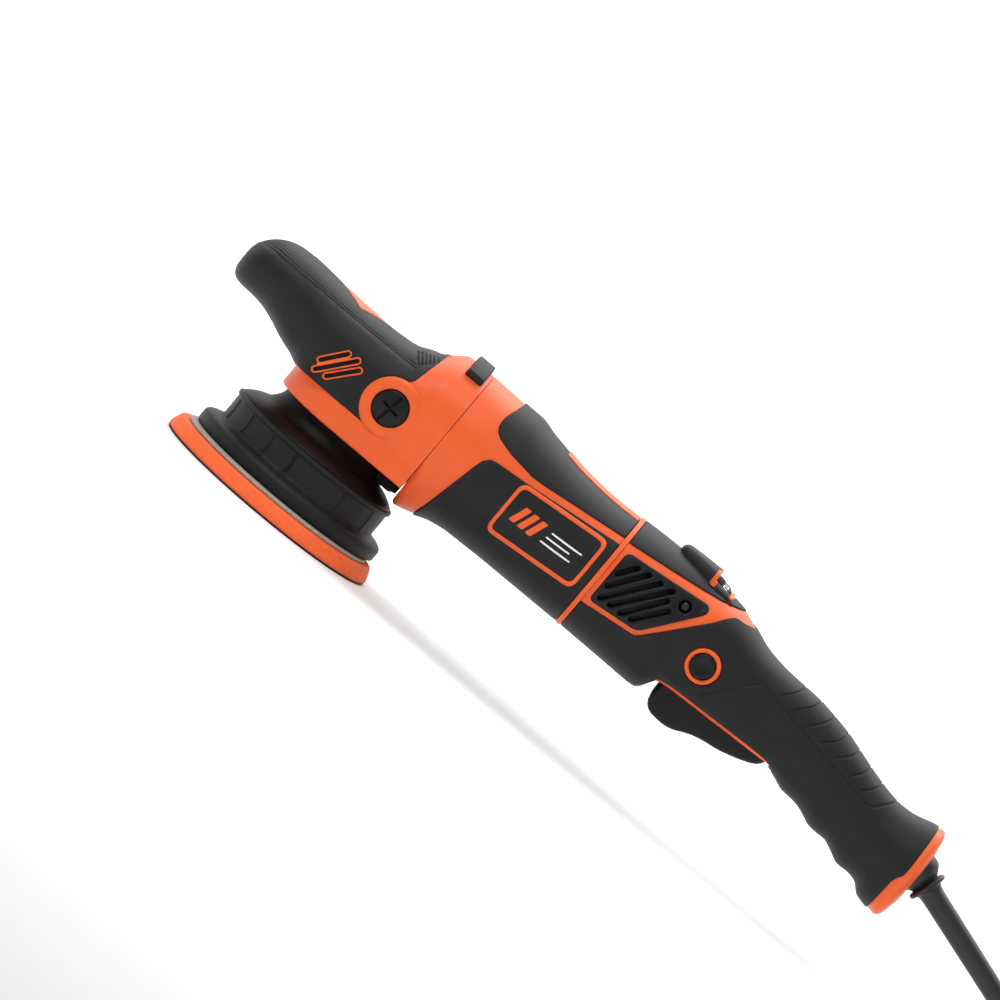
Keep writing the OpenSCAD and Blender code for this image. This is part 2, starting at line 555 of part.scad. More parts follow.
module armature_shaft() color(steel) along_x() {
    translate([0, 0, 16.6]) cylinder(h = 59.4, r = 5);
    translate([0, 0, 76]) cylinder(h = 98, r = 6);
    translate([0, 0, 174]) cylinder(h = 12, r = 4);
}
module armature_core() color("#8d8f92") along_x() difference() {
    union() {
        ring_z(19.4, 6, 80, 120);
        ring_z(15, 6, 72, 80);
        ring_z(15, 6, 120, 128);
    }
    for (a = [0:30:330]) rotate([0, 0, a]) translate([15.4, -0.9, 79]) cube([6, 1.8, 42]);
}
module commutator() color(copper) along_x() difference() {
    ring_z(13, 6, 152, 172);
    for (a = [0:15:345]) rotate([0, 0, a]) translate([12.3, -0.25, 151]) cube([2, 0.5, 22]);
}
module cooling_fan() color("#d8d4c8") along_x() {
    ring_z(27.6, 5, 61, 62.5);
    ring_z(10, 5, 53, 61);
    for (a = [0:40:320]) rotate([0, 0, a]) translate([9.8, -0.8, 54]) cube([17.4, 1.6, 7]);
}
module pinion() color(steel) translate([0, 0, motor_z]) rotate([0, -90, 0]) difference() {
    bevel_teeth(pinion_teeth, crown_teeth, 180);
    translate([0, 0, -40]) cylinder(h = 40, r = 5.02);
}

// ---- Spindle, turning about Z ----

module spindle() color(steel) {
    ring_z(8.5, 0, 40, 92.6);
    ring_z(4, 0, 92.6, 99.8);
}
module crown_gear() color(steel) difference() {
    union() {
        translate([0, 0, motor_z]) bevel_teeth(crown_teeth, pinion_teeth, 6);
        ring_z(21, 0, 64.6, 70);
    }
    translate([0, 0, 40]) cylinder(h = 60, r = 8.5);
}
module counterweight() color(alloy) difference() {
    union() {
        ring_z(14, 0, 33, 49);
        translate([throw_x, throw_y, 18]) cylinder(h = 15.1, r = 21);
        rotate([0, 0, atan2(throw_y, throw_x) + 100]) rotate_extrude(angle = 160)
            translate([0, 22]) square([40, 12]);
    }
    translate([0, 0, 40]) cylinder(h = 20, r = 8.5);
    translate([throw_x, throw_y, 17]) cylinder(h = 13, r = 16);
}
module pad_bearing() color(steel) translate([throw_x, throw_y, 0]) ring_z(16, 7.54, 18.2, 29.8);

// ---- Pad, turning about its own offset axis ----

module on_pad() {
    translate([throw_x, throw_y, 0]) children();
}
module backing_plate() color(beige) on_pad() ring_z(56, 7, 1 + foam_t, 10.6);
module pad_hub() color(alloy) on_pad() difference() {
    union() {
        ring_z(13, 0, 10.6, 16.4);
        ring_z(7.5, 0, 16.4, 29);
    }
    translate([0, 0, 9]) cylinder(h = 16, r = 4);
}
module pad_foam() color(orange) on_pad() rotate_extrude()
    polygon([[7.5, 1], [pad_d / 2 - 0.4, 1], [pad_d / 2, 2], [pad_d / 2 - 2.6, 1 + foam_t],
        [7.5, 1 + foam_t]]);
module hook_face() color(dark) on_pad() ring_z(pad_d / 2 - 0.3, 5.5, 0, 1);
module pad_bolt() color(steel) on_pad() difference() {
    union() {
        ring_z(7, 0, 3.8, 1 + foam_t);
        ring_z(4, 0, 1 + foam_t, 24);
    }
    translate([0, 0, 2.8]) cylinder(h = 4, r = 3, $fn = 6);
}

// ---- Controls ----

module trigger() color(dark) difference() {
    across(PADDLE, -trigger_w / 2, trigger_w / 2);
    across(PADDLE_HOLLOW, 2.4 - trigger_w / 2, trigger_w / 2 - 2.4);
    at_side(trigger_pivot, 1) translate([0, 0, -20]) cylinder(h = 40, r = 2.05);
}
module lock_button() color(dark) at_side(lock_at, 1) translate([0, 0, 14])
    cylinder(h = 16.6, r = lock_d / 2);
module speed_dial() color(dark) translate(dial_at) rotate([0, 90 + dial_tilt, 0]) difference() {
    translate([0, 0, -4.4]) cylinder(h = 8.8, r = dial_d / 2);
    translate([0, 0, -10]) cylinder(h = 20, r = 2.05);
    for (a = [0:20:340]) rotate([0, 0, a]) translate([dial_d / 2 + 0.4, 0, -5]) cylinder(h = 10, r = 0.9);
}

gear_housing();
head_grip();
head_trim();
side_plugs();
top_bumper();
spindle_bearings();
bearing_retainer();
head_screws();
neck_cone();
shroud();
bearing_plate();
motor_housing();
panel_top();
panel_bottom();
nameplates();
stator_core();
field_coils();
motor_bearings();
brush_holders();
carbon_brushes();
brush_springs();
housing_band();
rear_housing_left();
rear_housing_right();
handle_grip_left();
handle_grip_right();
dial_hood();
dial_bezel();
vent_covers();
housing_screws();
lock_bezel();
trigger_trim();
trigger_pin();
switch_body();
speed_controller();
cord_clamp();
end_cap();
strain_relief();
cord();
cord_coil();
cord_tie();
plug();
armature_shaft();
armature_core();
commutator();
cooling_fan();
pinion();
spindle();
crown_gear();
counterweight();
pad_bearing();
backing_plate();
pad_hub();
pad_foam();
hook_face();
pad_bolt();
trigger();
lock_button();
speed_dial();
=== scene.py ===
import json
import math

import bmesh
import bpy
import numpy as np
from mathutils import Matrix, Vector
from mathutils.geometry import delaunay_2d_cdt


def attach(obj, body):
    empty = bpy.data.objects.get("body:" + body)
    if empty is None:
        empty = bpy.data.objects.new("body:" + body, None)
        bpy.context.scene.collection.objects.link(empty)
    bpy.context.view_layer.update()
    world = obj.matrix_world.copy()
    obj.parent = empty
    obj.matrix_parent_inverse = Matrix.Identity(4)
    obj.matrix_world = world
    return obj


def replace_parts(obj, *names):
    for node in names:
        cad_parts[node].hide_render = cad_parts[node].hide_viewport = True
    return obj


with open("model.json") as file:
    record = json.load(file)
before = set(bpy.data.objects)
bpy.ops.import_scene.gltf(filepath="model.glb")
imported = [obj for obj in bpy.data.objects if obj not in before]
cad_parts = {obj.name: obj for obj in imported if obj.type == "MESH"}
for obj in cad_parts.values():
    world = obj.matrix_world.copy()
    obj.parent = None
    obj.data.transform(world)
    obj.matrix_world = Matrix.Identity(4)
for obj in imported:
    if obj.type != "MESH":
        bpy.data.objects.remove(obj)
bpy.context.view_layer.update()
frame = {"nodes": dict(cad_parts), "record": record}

# Shapes are written in millimetres in the model's own frame, and turned into metres as meshes are made.
MM = 0.001
LEFT, RIGHT = -1, 1
BOTH = (LEFT, RIGHT)
SIDES = ((LEFT, "left"), (RIGHT, "right"))

# ---------------------------------------------------------------- camera

TARGET = Vector((85.1, 0.0, 75.6)) * MM
ELEVATION = math.radians(5)
ROLL = math.radians(40)
DISTANCE = 5.5
VIEW_WIDTH = 0.494
SENSOR_WIDTH = 36


def place_object(name, data):
    made = bpy.data.objects.new(name, data)
    bpy.context.scene.collection.objects.link(made)
    return made


def make_camera():
    """A long lens on the tool's left side, rolled so that the handle points down to the right."""
    data = bpy.data.cameras.new("camera")
    data.sensor_width = SENSOR_WIDTH
    data.lens = SENSOR_WIDTH * DISTANCE / VIEW_WIDTH
    camera = place_object("camera", data)
    look = Vector((0, math.cos(ELEVATION), -math.sin(ELEVATION)))
    level_up = Vector((0, math.sin(ELEVATION), math.cos(ELEVATION)))
    side = Vector((1, 0, 0))
    right = math.cos(ROLL) * side + math.sin(ROLL) * level_up
    up = -math.sin(ROLL) * side + math.cos(ROLL) * level_up
    turn = Matrix((right, up, -look)).transposed()
    camera.matrix_world = Matrix.Translation(TARGET - DISTANCE * look) @ turn.to_4x4()
    bpy.context.scene.camera = camera


make_camera()

# ---------------------------------------------------------------- cord

CORD_D = 8.0
BOOT_END = (445.8, 0.0, 40.6)
ROUTE = [BOOT_END, (452, 0, 38.7), (458, 0, 36.8), (464, 0, 35), (470, 0, 33.3), (476, 0, 31.8),
         (482, 0, 30.6), (488, 0, 29.7), (495, 0, 28.9), (503, 0, 28.4), (511, 0, 28.1)]
TAIL = [(527, -0.3, 4.1), (535, -2.2, 4.6), (543, -5.6, 5.3), (551, -9.2, 6.2), (559, -11.4, 6.9),
        (568, -12, 7)]
COIL_AT = (520.0, 60.0)
COIL_R = 48.0
TURNS = 4
LAYERS = 4
TURN_POINTS = 40
CROSS_OVER = 0.2
PLUG_AT = (566.0, -12.0, 7.0)


def ease(t):
    t = min(1.0, max(0.0, t))
    return t * t * (3 - 2 * t)


def coil_points():
    """The turns from the top layer down. In its last part each turn steps one diameter sideways, or down."""
    outer = COIL_R + (TURNS - 1) * CORD_D / 2
    inner = COIL_R - (TURNS - 1) * CORD_D / 2
    points = []
    for i in range(TURNS * LAYERS * TURN_POINTS + 1):
        turn = i / TURN_POINTS
        layer = min(int(turn / TURNS), LAYERS - 1)
        within = turn - layer * TURNS
        lap = min(int(within), TURNS - 1)
        step = ease((within - lap - 1 + CROSS_OVER) / CROSS_OVER) if within < TURNS else 0.0
        last_lap = lap == TURNS - 1
        winding_in = layer % 2 == 0
        across = CORD_D * (lap + (0 if last_lap else step))
        radius = outer - across if winding_in else inner + across
        height = CORD_D * (LAYERS - layer - 0.5)
        if last_lap and layer < LAYERS - 1:
            height -= CORD_D * step
            radius += (-3 if winding_in else 3) * math.sin(math.pi * step)
        angle = -math.pi / 2 + 2 * math.pi * turn
        points.append((COIL_AT[0] + radius * math.cos(angle), COIL_AT[1] + radius * math.sin(angle), height))
    return points


def make_curve(name, points, radius, segments=5):
    """A round line. The radius is on its points, so that the curve's own box is no wider than the line."""
    curve = bpy.data.curves.new(name, "CURVE")
    curve.dimensions = "3D"
    curve.bevel_depth = 1
    curve.bevel_resolution = segments
    curve.use_fill_caps = True
    spline = curve.splines.new("POLY")
    spline.points.add(len(points) - 1)
    for spot, p in zip(spline.points, points):
        spot.co = (p[0] * MM, p[1] * MM, p[2] * MM, 1)
        spot.radius = radius * MM
    spline.use_smooth = True
    return place_object(name, curve)


def smooth_route(points, step=2.5):
    """Catmull-Rom through the points, sampled about every step millimetres."""
    pts = [np.array(p, float) for p in points]
    pts = [2 * pts[0] - pts[1]] + pts + [2 * pts[-1] - pts[-2]]
    out = []
    for a, b, c, d in zip(pts, pts[1:], pts[2:], pts[3:]):
        n = max(1, round(np.linalg.norm(c - b) / step))
        for k in range(n):
            t = k / n
            out.append(0.5 * (2 * b + (c - a) * t + (2 * a - 5 * b + 4 * c - d) * t * t
                              + (3 * b - a - 3 * c + d) * t ** 3))
    out.append(pts[-2])
    return out


def make_cord(pieces):
    points = smooth_route(ROUTE) + coil_points() + smooth_route(TAIL)
    cord = make_curve("mains_cord", points, CORD_D / 2)
    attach(cord, "root")
    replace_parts(cord, "cord", "cord_coil")
    dress(cord, "cord_black")


# ---------------------------------------------------------------- materials

ORANGE = (0.80, 0.115, 0.025)
CHARCOAL = (0.0135, 0.0135, 0.0145)
BLACK = (0.008, 0.008, 0.009)
NOISE_LOW, NOISE_HIGH = 0.3, 0.7
ROUGH_VARY = 0.08
GRAIN_RELIEF = 0.35


def set_inputs(node, values):
    for name, value in values.items():
        node.inputs[name].default_value = value


def material(name, colour, rough, grain=0.0, grain_size=0.3, vary=0.06, metal=0.0, stretch=(1, 1, 1),
             blotch=12.0, shine=0.5):
    """A moulded or machined finish: a grain, its size in millimetres, and slow drifts of colour and gloss."""
    made = bpy.data.materials.new(name)
    made.use_nodes = True
    tree = made.node_tree
    shader = tree.nodes["Principled BSDF"]
    set_inputs(shader, {"Metallic": metal, "Specular IOR Level": shine})
    place = tree.nodes.new("ShaderNodeTexCoord")
    scale = tree.nodes.new("ShaderNodeMapping")
    set_inputs(scale, {"Scale": stretch})
    tree.links.new(place.outputs["Object"], scale.inputs["Vector"])

    def noise(size, detail):
        node = tree.nodes.new("ShaderNodeTexNoise")
        set_inputs(node, {"Scale": 1 / (size * MM), "Detail": detail})
        tree.links.new(scale.outputs["Vector"], node.inputs["Vector"])
        return node.outputs["Fac"]

    def spread(source, low, high):
        node = tree.nodes.new("ShaderNodeMapRange")
        set_inputs(node, {"From Min": NOISE_LOW, "From Max": NOISE_HIGH, "To Min": low, "To Max": high})
        tree.links.new(source, node.inputs["Value"])
        return node.outputs["Result"]

    tint = tree.nodes.new("ShaderNodeMix")
    tint.data_type = "RGBA"
    set_inputs(tint,
               {"A": (*(c * (1 - vary) for c in colour), 1),
                "B": (*(min(1, c * (1 + vary)) for c in colour), 1)})
    tree.links.new(spread(noise(blotch, 3), 0, 1), tint.inputs["Factor"])
    tree.links.new(tint.outputs["Result"], shader.inputs["Base Color"])
    fine = noise(grain_size, 2)
    gloss = spread(fine, rough * (1 - ROUGH_VARY), rough * (1 + ROUGH_VARY))
    tree.links.new(gloss, shader.inputs["Roughness"])
    bump = tree.nodes.new("ShaderNodeBump")
    set_inputs(bump, {"Strength": grain, "Distance": grain_size * MM * GRAIN_RELIEF})
    tree.links.new(fine, bump.inputs["Height"])
    tree.links.new(bump.outputs["Normal"], shader.inputs["Normal"])
    return made


LOOKS = {
    "orange_metal": material("satin_paint", ORANGE, 0.40, grain=0.10, grain_size=0.9, vary=0.03, shine=0.26),
    "orange_plastic": material("orange_plastic", ORANGE, 0.42, grain=0.12, grain_size=0.5, vary=0.03,
                               shine=0.26),
    "soft_black": material("soft_touch_rubber", CHARCOAL, 0.54, grain=0.30, grain_size=0.28, vary=0.10,
                           shine=0.2),
    "hard_black": material("grained_plastic", BLACK, 0.42, grain=0.22, grain_size=0.35, vary=0.10, shine=0.2),
    "gloss_black": material("gloss_plastic", (0.005, 0.004, 0.004), 0.42, grain=0.04, grain_size=1.2,
                            shine=0.12),
    "steel": material("machined_steel", (0.55, 0.56, 0.58), 0.30, grain=0.20, metal=1.0, stretch=(1, 1, 6)),
    "dark_steel": material("blackened_steel", (0.05, 0.05, 0.055), 0.35, grain=0.20, metal=1.0),
    "alloy": material("cast_alloy", (0.62, 0.63, 0.65), 0.45, grain=0.35, grain_size=0.6, metal=1.0),
    "copper": material("enamelled_copper", (0.60, 0.27, 0.12), 0.35, grain=0.3, grain_size=0.6, metal=1.0),
    "carbon": material("carbon_block", (0.025, 0.025, 0.026), 0.5, grain=0.4, grain_size=0.2),
    "fan_plastic": material("fan_nylon", (0.70, 0.67, 0.60), 0.45, grain=0.15, grain_size=0.5),
    "ink_white": material("printed_white", (0.80, 0.80, 0.80), 0.50, grain=0.10, grain_size=0.4),
    "board": material("potted_board", (0.04, 0.16, 0.09), 0.35, grain=0.25, grain_size=1.5),
    "fibre": material("pressed_fibre", (0.34, 0.31, 0.26), 0.62, grain=0.5, grain_size=0.5, vary=0.22,
                      blotch=1.2),
    "foam": material("closed_cell_foam", (0.94, 0.135, 0.027), 0.78, grain=0.55, grain_size=0.55,
                     vary=0.07, blotch=2),
    "hook": material("hook_tape", (0.022, 0.022, 0.024), 0.85, grain=1.0, grain_size=0.45, vary=0.3,
                     blotch=0.7),
    "cord_black": material("cord_rubber", (0.014, 0.014, 0.015), 0.45, grain=0.18, grain_size=0.3,
                           vary=0.12, shine=0.4),
    "tie": material("woven_tie", (0.03, 0.03, 0.035), 0.8, grain=0.9, grain_size=0.5, vary=0.3, blotch=0.6),
}


def dress(piece, look):
    piece.data.materials.clear()
    piece.data.materials.append(LOOKS[look])


# ---------------------------------------------------------------- making pieces

TINY = 1e-7
CREASE = 40
BEVELLED = 35


def add(name, verts, faces, slot, replaces=(), body="root", look=None, sharp=CREASE, merge=0.0,
        turned=False):
    """A mesh piece from points in millimetres, shaded smooth, with creases where faces turn more than sharp
    degrees. Points closer than merge become one. A turned piece has its degenerate faces taken out and its
    normals put right."""
    mesh = bpy.data.meshes.new(name)
    mesh.from_pydata([tuple(float(c) * MM for c in v) for v in verts], [], [tuple(f) for f in faces])
    bm = bmesh.new()
    bm.from_mesh(mesh)
    if merge:
        bmesh.ops.remove_doubles(bm, verts=bm.verts, dist=merge * MM)
    if turned:
        bmesh.ops.dissolve_degenerate(bm, edges=bm.edges, dist=TINY)
        bmesh.ops.recalc_face_normals(bm, faces=bm.faces)
    finish_mesh(bm, mesh, sharp)
    return adopt(name, mesh, slot, replaces, body, look)


def finish_mesh(bm, mesh, sharp):
    limit = math.radians(sharp)
    for f in bm.faces:
        f.smooth = True
    for e in bm.edges:
        if len(e.link_faces) == 2 and e.calc_face_angle(0.0) > limit:
            e.smooth = False
    bm.to_mesh(mesh)
    bm.free()


def adopt(name, mesh, slot, replaces=(), body="root", look=None):
    piece = place_object(name, mesh)
    dress(piece, look or slot)
    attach(piece, body)
    if replaces:
        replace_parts(piece, *replaces)
    return piece


def soften(points, r, k=5):
    """The polygon with its corners cut back by r, or less on a short side, and rounded."""
    pts = [np.array(p, float) for p in points]
    out = []
    for i, c in enumerate(pts):
        ends = []
        for b in (pts[i - 1], pts[(i + 1) % len(pts)]):
            ends.append(c + (b - c) * min(r / np.linalg.norm(b - c), 0.45))
        for t in np.linspace(0, 1, k + 1):
            out.append((1 - t) ** 2 * ends[0] + 2 * t * (1 - t) * c + t * t * ends[1])
    return out


def walk(points, step, closed=True):
    """The same outline with no stretch longer than step."""
    out = []
    count = len(points) if closed else len(points) - 1
    for i in range(count):
        a = np.array(points[i], float)
        b = np.array(points[(i + 1) % len(points)], float)
        n = max(1, math.ceil(np.linalg.norm(b - a) / step))
        out.extend(a + (b - a) * k / n for k in range(n))
    if not closed:
        out.append(np.array(points[-1], float))
    return out


def thin_out(points, least):
    """Drops points that lie closer than least to the one before."""
    out = [points[0]]
    for p in points[1:]:
        if np.linalg.norm(p - out[-1]) > least:
            out.append(p)
    if np.linalg.norm(out[-1] - out[0]) < least:
        out.pop()
    return out


def ring(at, r, step=0.2):
    """A circle of points round at."""
    return [(at[0] + r * math.cos(a), at[1] + r * math.sin(a)) for a in np.arange(0, 2 * math.pi, step)]


def slot_outline(a, b, width, k=6):
    """A straight slot with round ends, from a to b."""
    a, b = np.array(a, float), np.array(b, float)
    angle = math.atan2(*(b - a)[::-1])
    out = []
    for end, start in ((b, angle - math.pi / 2), (a, angle + math.pi / 2)):
        for t in np.linspace(0, math.pi, k + 1):
            out.append(end + width / 2 * np.array((math.cos(start + t), math.sin(start + t))))
    return out


def ring_faces(count, n):
    """Faces of a closed profile of n points that stands count times round a closed ring."""
    return [(i * n + k, (i + 1) % count * n + k, (i + 1) % count * n + (k + 1) % n, i * n + (k + 1) % n)
            for i in range(count) for k in range(n)]


def lathe(name, profile, slot, replaces=(), body="root", place=None, look=None, count=144, sharp=32):
    """A closed profile of (radius, height) turned about Z, then placed by the matrix place."""
    n = len(profile)
    verts = []
    for i in range(count):
        a = 2 * math.pi * i / count
        verts.extend((r * math.cos(a), r * math.sin(a), z) for r, z in profile)
    on_axis = [r < 1e-6 for r, _ in profile]
    faces = [f for f in ring_faces(count, n) if not (on_axis[f[0] % n] and on_axis[f[3] % n])]
    if place is not None:
        verts = [tuple(place @ Vector(v)) for v in verts]
    return add(name, verts, faces, slot, replaces, body, look, sharp, merge=TINY / MM, turned=True)


def prism_mesh(outline, low, high, bevel=0.0, segments=3):
    """An outline in X and Y run from low to high, its hard edges rounded. Returns a bmesh in millimetres."""
    bm = bmesh.new()
    bottom = [bm.verts.new((p[0], p[1], low)) for p in outline]
    top = [bm.verts.new((p[0], p[1], high)) for p in outline]
    bm.faces.new(bottom[::-1])
    bm.faces.new(top)
    n = len(outline)
    for i in range(n):
        j = (i + 1) % n
        bm.faces.new((bottom[i], bottom[j], top[j], top[i]))
    bmesh.ops.recalc_face_normals(bm, faces=bm.faces)
    if bevel:
        hard = [e for e in bm.edges if e.calc_face_angle(0.0) > math.radians(BEVELLED)]
        bmesh.ops.bevel(bm, geom=hard, offset=bevel, segments=segments, affect="EDGES", profile=0.5,
                        clamp_overlap=True)
    return bm


def prism(name, outline, low, high, slot, replaces=(), place=None, bevel=0.4, segments=3):
    bm = prism_mesh(outline, low, high, bevel, segments)
    bm.transform(Matrix.Scale(MM, 4) @ (place or Matrix.Identity(4)))
    mesh = bpy.data.meshes.new(name)
    finish_mesh(bm, mesh, CREASE)
    return adopt(name, mesh, slot, replaces)


def facing(side, x, z, y=0.0):
    """A frame whose own Z points out of the tool's side, at x and z."""
    turn = Matrix.Rotation(math.radians(90 if side < 0 else -90), 4, "X")
    return Matrix.Translation((x, y, z)) @ turn


# Own X along the tool, own Y up and own Z to the left (-Y): for outlines drawn in X and Z
ON_SIDE = Matrix(((1, 0, 0, 0), (0, 0, -1, 0), (0, 1, 0, 0), (0, 0, 0, 1)))
# Own X across the tool, own Y up and own Z along it: for outlines drawn in Y and Z
ALONG = Matrix(((0, 0, 1, 0), (1, 0, 0, 0), (0, 1, 0, 0), (0, 0, 0, 1)))


# ---------------------------------------------------------------- housing skins

def slopes(x, y):
    """Slopes of a smooth curve through the points that never overshoots them."""
    h = np.diff(x)
    d = np.diff(y) / h
    m = np.zeros_like(y)
    m[0], m[-1] = d[0], d[-1]
    for i in range(1, len(x) - 1):
        if d[i - 1] * d[i] > 0:
            w1, w2 = 2 * h[i] + h[i - 1], h[i] + 2 * h[i - 1]
            m[i] = (w1 + w2) / (w1 / d[i - 1] + w2 / d[i])
    return m


class Skin:
    """A housing's outer surface. A row is (u, x, top, low, half width, roundness above, roundness below)."""

    def __init__(self, rows):
        rows = np.array(rows, float)
        self.u = rows[:, 0]
        self.values = rows[:, 1:].T
        self.slopes = [slopes(self.u, v) for v in self.values]

    def row(self, u):
        u = np.clip(np.asarray(u, float), self.u[0], self.u[-1])
        i = np.clip(np.searchsorted(self.u, u, side="right") - 1, 0, len(self.u) - 2)
        h = self.u[i + 1] - self.u[i]
        t = (u - self.u[i]) / h
        a, b = (1 + 2 * t) * (1 - t) ** 2, t * (1 - t) ** 2
        c, d = t * t * (3 - 2 * t), t * t * (t - 1)
        return [a * v[i] + b * h * m[i] + c * v[i + 1] + d * h * m[i + 1]
                for v, m in zip(self.values, self.slopes)]

    def base(self, u, phi):
        x, top, low, half, above, below = self.row(u)
        tall = (top - low) / 2
        n = np.where(np.cos(phi) > 0, above, below)
        s, c = np.abs(np.sin(phi)) / half, np.abs(np.cos(phi)) / tall
        r = (s ** n + c ** n) ** (-1 / n)
        return np.stack([x, r * np.sin(phi), (top + low) / 2 + r * np.cos(phi)], -1)

    def at(self, u, phi, height):
        du, dp = 0.05, 0.004
        low = np.maximum(np.asarray(u, float) - du, self.u[0])
        high = np.minimum(np.asarray(u, float) + du, self.u[-1])
        along = self.base(high, phi) - self.base(low, phi)
        round_ = self.base(u, phi + dp) - self.base(u, phi - dp)
        normal = np.cross(along, round_)
        normal /= np.maximum(np.linalg.norm(normal, axis=-1, keepdims=True), 1e-12)
        return self.base(u, phi) + np.asarray(height, float)[..., None] * normal

    def girth(self, u):
        _, top, low, half, _, _ = self.row(u)
        return np.maximum((half + (top - low) / 2) / 2, 0.02)

    def turn(self, u, z, side):
        """The angle from the top at which that side reaches the height z."""
        _, top, low, half, above, below = self.row(u)
        tall = (top - low) / 2
        rise = z - (top + low) / 2
        n = np.where(rise > 0, above, below)
        y = half * np.maximum(1 - np.clip(np.abs(rise) / tall, 0, 1) ** n, 0) ** (1 / n)
        return side * np.arctan2(y, rise)

    def side(self, points, side, origin=0.0):
        """A line of points (u, z) on one side, as flat places (u, v), v being the girth from origin."""
        pts = np.array(walk(points, 2.0, closed=False))
        phi = self.turn(pts[:, 0], pts[:, 1], side) - origin
        phi = (phi + math.pi) % (2 * math.pi) - math.pi
        return np.stack([pts[:, 0], phi * self.girth(pts[:, 0])], -1)


def inside(points, loops):
    """Even-odd test of flat points against closed loops."""
    hit = np.zeros(len(points), bool)
    x, y = points[:, 0][:, None], points[:, 1][:, None]
    for loop in loops:
        a = np.array(loop)
        b = np.roll(a, -1, 0)
        with np.errstate(divide="ignore", invalid="ignore"):
            crosses = ((a[:, 1] > y) != (b[:, 1] > y)) & (
                x < (b[:, 0] - a[:, 0]) * (y - a[:, 1]) / (b[:, 1] - a[:, 1]) + a[:, 0])
        hit ^= (crosses.sum(1) % 2).astype(bool)
    return hit


def gap(points, segments):
    """Each flat point's distance to the nearest of the segments, rows of (ax, ay, bx, by)."""
    if len(segments) == 0:
        return np.full(len(points), 1e9)
    out = np.empty(len(points))
    a, b = segments[:, :2], segments[:, 2:]
    d = b - a
    length = np.maximum((d * d).sum(1), 1e-12)
    for start in range(0, len(points), 2000):
        p = points[start:start + 2000][:, None, :]
        t = np.clip(((p - a) * d).sum(2) / length, 0, 1)
        out[start:start + 2000] = np.sqrt((((p - a) - t[..., None] * d) ** 2).sum(2).min(1))
    return out


def pairs(points, closed=True):
    pts = np.array(points)
    nxt = np.roll(pts, -1, 0) if closed else pts[1:]
    return np.hstack([pts if closed else pts[:-1], nxt])


def beside(points, offsets, closed):
    """Points set off to both sides of a line by the offsets."""
    pts = np.array(points)
    if closed:
        run = np.roll(pts, -1, 0) - np.roll(pts, 1, 0)
    else:
        run = np.gradient(pts, axis=0)
    side = np.stack([-run[:, 1], run[:, 0]], -1)
    side /= np.maximum(np.linalg.norm(side, axis=1, keepdims=True), 1e-9)
    return np.vstack([pts + s * o * side for o in offsets for s in (-1, 1)])


RINGS = (0.12, 0.35, 0.7, 1.1)


def rim_points(loops, rim, edge):
    """Rings of points along the rims, close together where the height rounds off."""
    rings = np.vstack([beside(loop, [edge * f for f in RINGS], True) for loop in loops])
    rings = rings[inside(rings, loops)]
    near = gap(rings, rim)
    keep = np.zeros(len(rings), bool)
    for f in RINGS:
        keep |= np.abs(near - edge * f) < 0.03 * edge
    return rings[keep]


def fill_points(loops, rim, edge, lines, extra, spacing):
    """Flat points inside the loops, in sets: by the rims, by the grooves, the extra ones, and a grid."""
    sets = [rim_points(loops, rim, edge)] if edge > 0 else []
    for line, width, _ in lines:
        near = beside(line, [0.02, width * 0.25, width * 0.5, width * 0.7], False)
        near = near[inside(near, loops)]
        sets.append(near[gap(near, rim) > max(edge * 0.5, 0.15)])
    low, high = np.vstack(loops).min(0), np.vstack(loops).max(0)
    rows = np.arange(low[1], high[1] + spacing, spacing * 0.866)
    grid = np.array([(x + (spacing / 2 if k % 2 else 0), y) for k, y in enumerate(rows)
                     for x in np.arange(low[0], high[0] + spacing, spacing)])
    grid = grid[inside(grid, loops)]
    grid = grid[gap(grid, rim) > max(edge * 1.1 + spacing * 0.25, spacing * 0.45)]
    for line, width, _ in lines:
        grid = grid[gap(grid, pairs(line, closed=False)) > width * 0.7 + spacing * 0.25]
    if extra is not None:
        more = extra[inside(extra, loops)]
        more = more[gap(more, rim) > max(edge * 1.15, 0.3)]
        sets.append(more)
        taken = {tuple(np.round(p / spacing)) for p in more}
        grid = np.array([p for p in grid if tuple(np.round(p / spacing)) not in taken])
    return sets + [grid]


def triangulate(loops, sets):
    """Triangles between the loops, through the points of the sets that are not too close to each other."""
    flat = [p for loop in loops for p in loop]
    edges = []
    for loop in loops:
        start, n = len(edges), len(loop)
        edges.extend((start + i, start + (i + 1) % n) for i in range(n))
    seen = set()
    for p in (p for chosen in sets for p in chosen):
        key = (round(p[0] / 0.16), round(p[1] / 0.16))
        if key not in seen:
            seen.add(key)
            flat.append(p)
    done = delaunay_2d_cdt([Vector((float(p[0]), float(p[1]))) for p in flat], edges, [], 0, 1e-6)
    flat = np.array([tuple(v) for v in done[0]])
    triangles = np.array([f for f in done[2] if len(f) == 3])
    triangles = triangles[inside(flat[triangles].mean(1), loops)]
    a, b, c = flat[triangles[:, 0]], flat[triangles[:, 1]], flat[triangles[:, 2]]
    area = np.cross(b - a, c - a)
    triangles = triangles[np.abs(area) > TINY]
    area = area[np.abs(area) > TINY]
    triangles[area < 0] = triangles[area < 0][:, ::-1]
    return flat, triangles


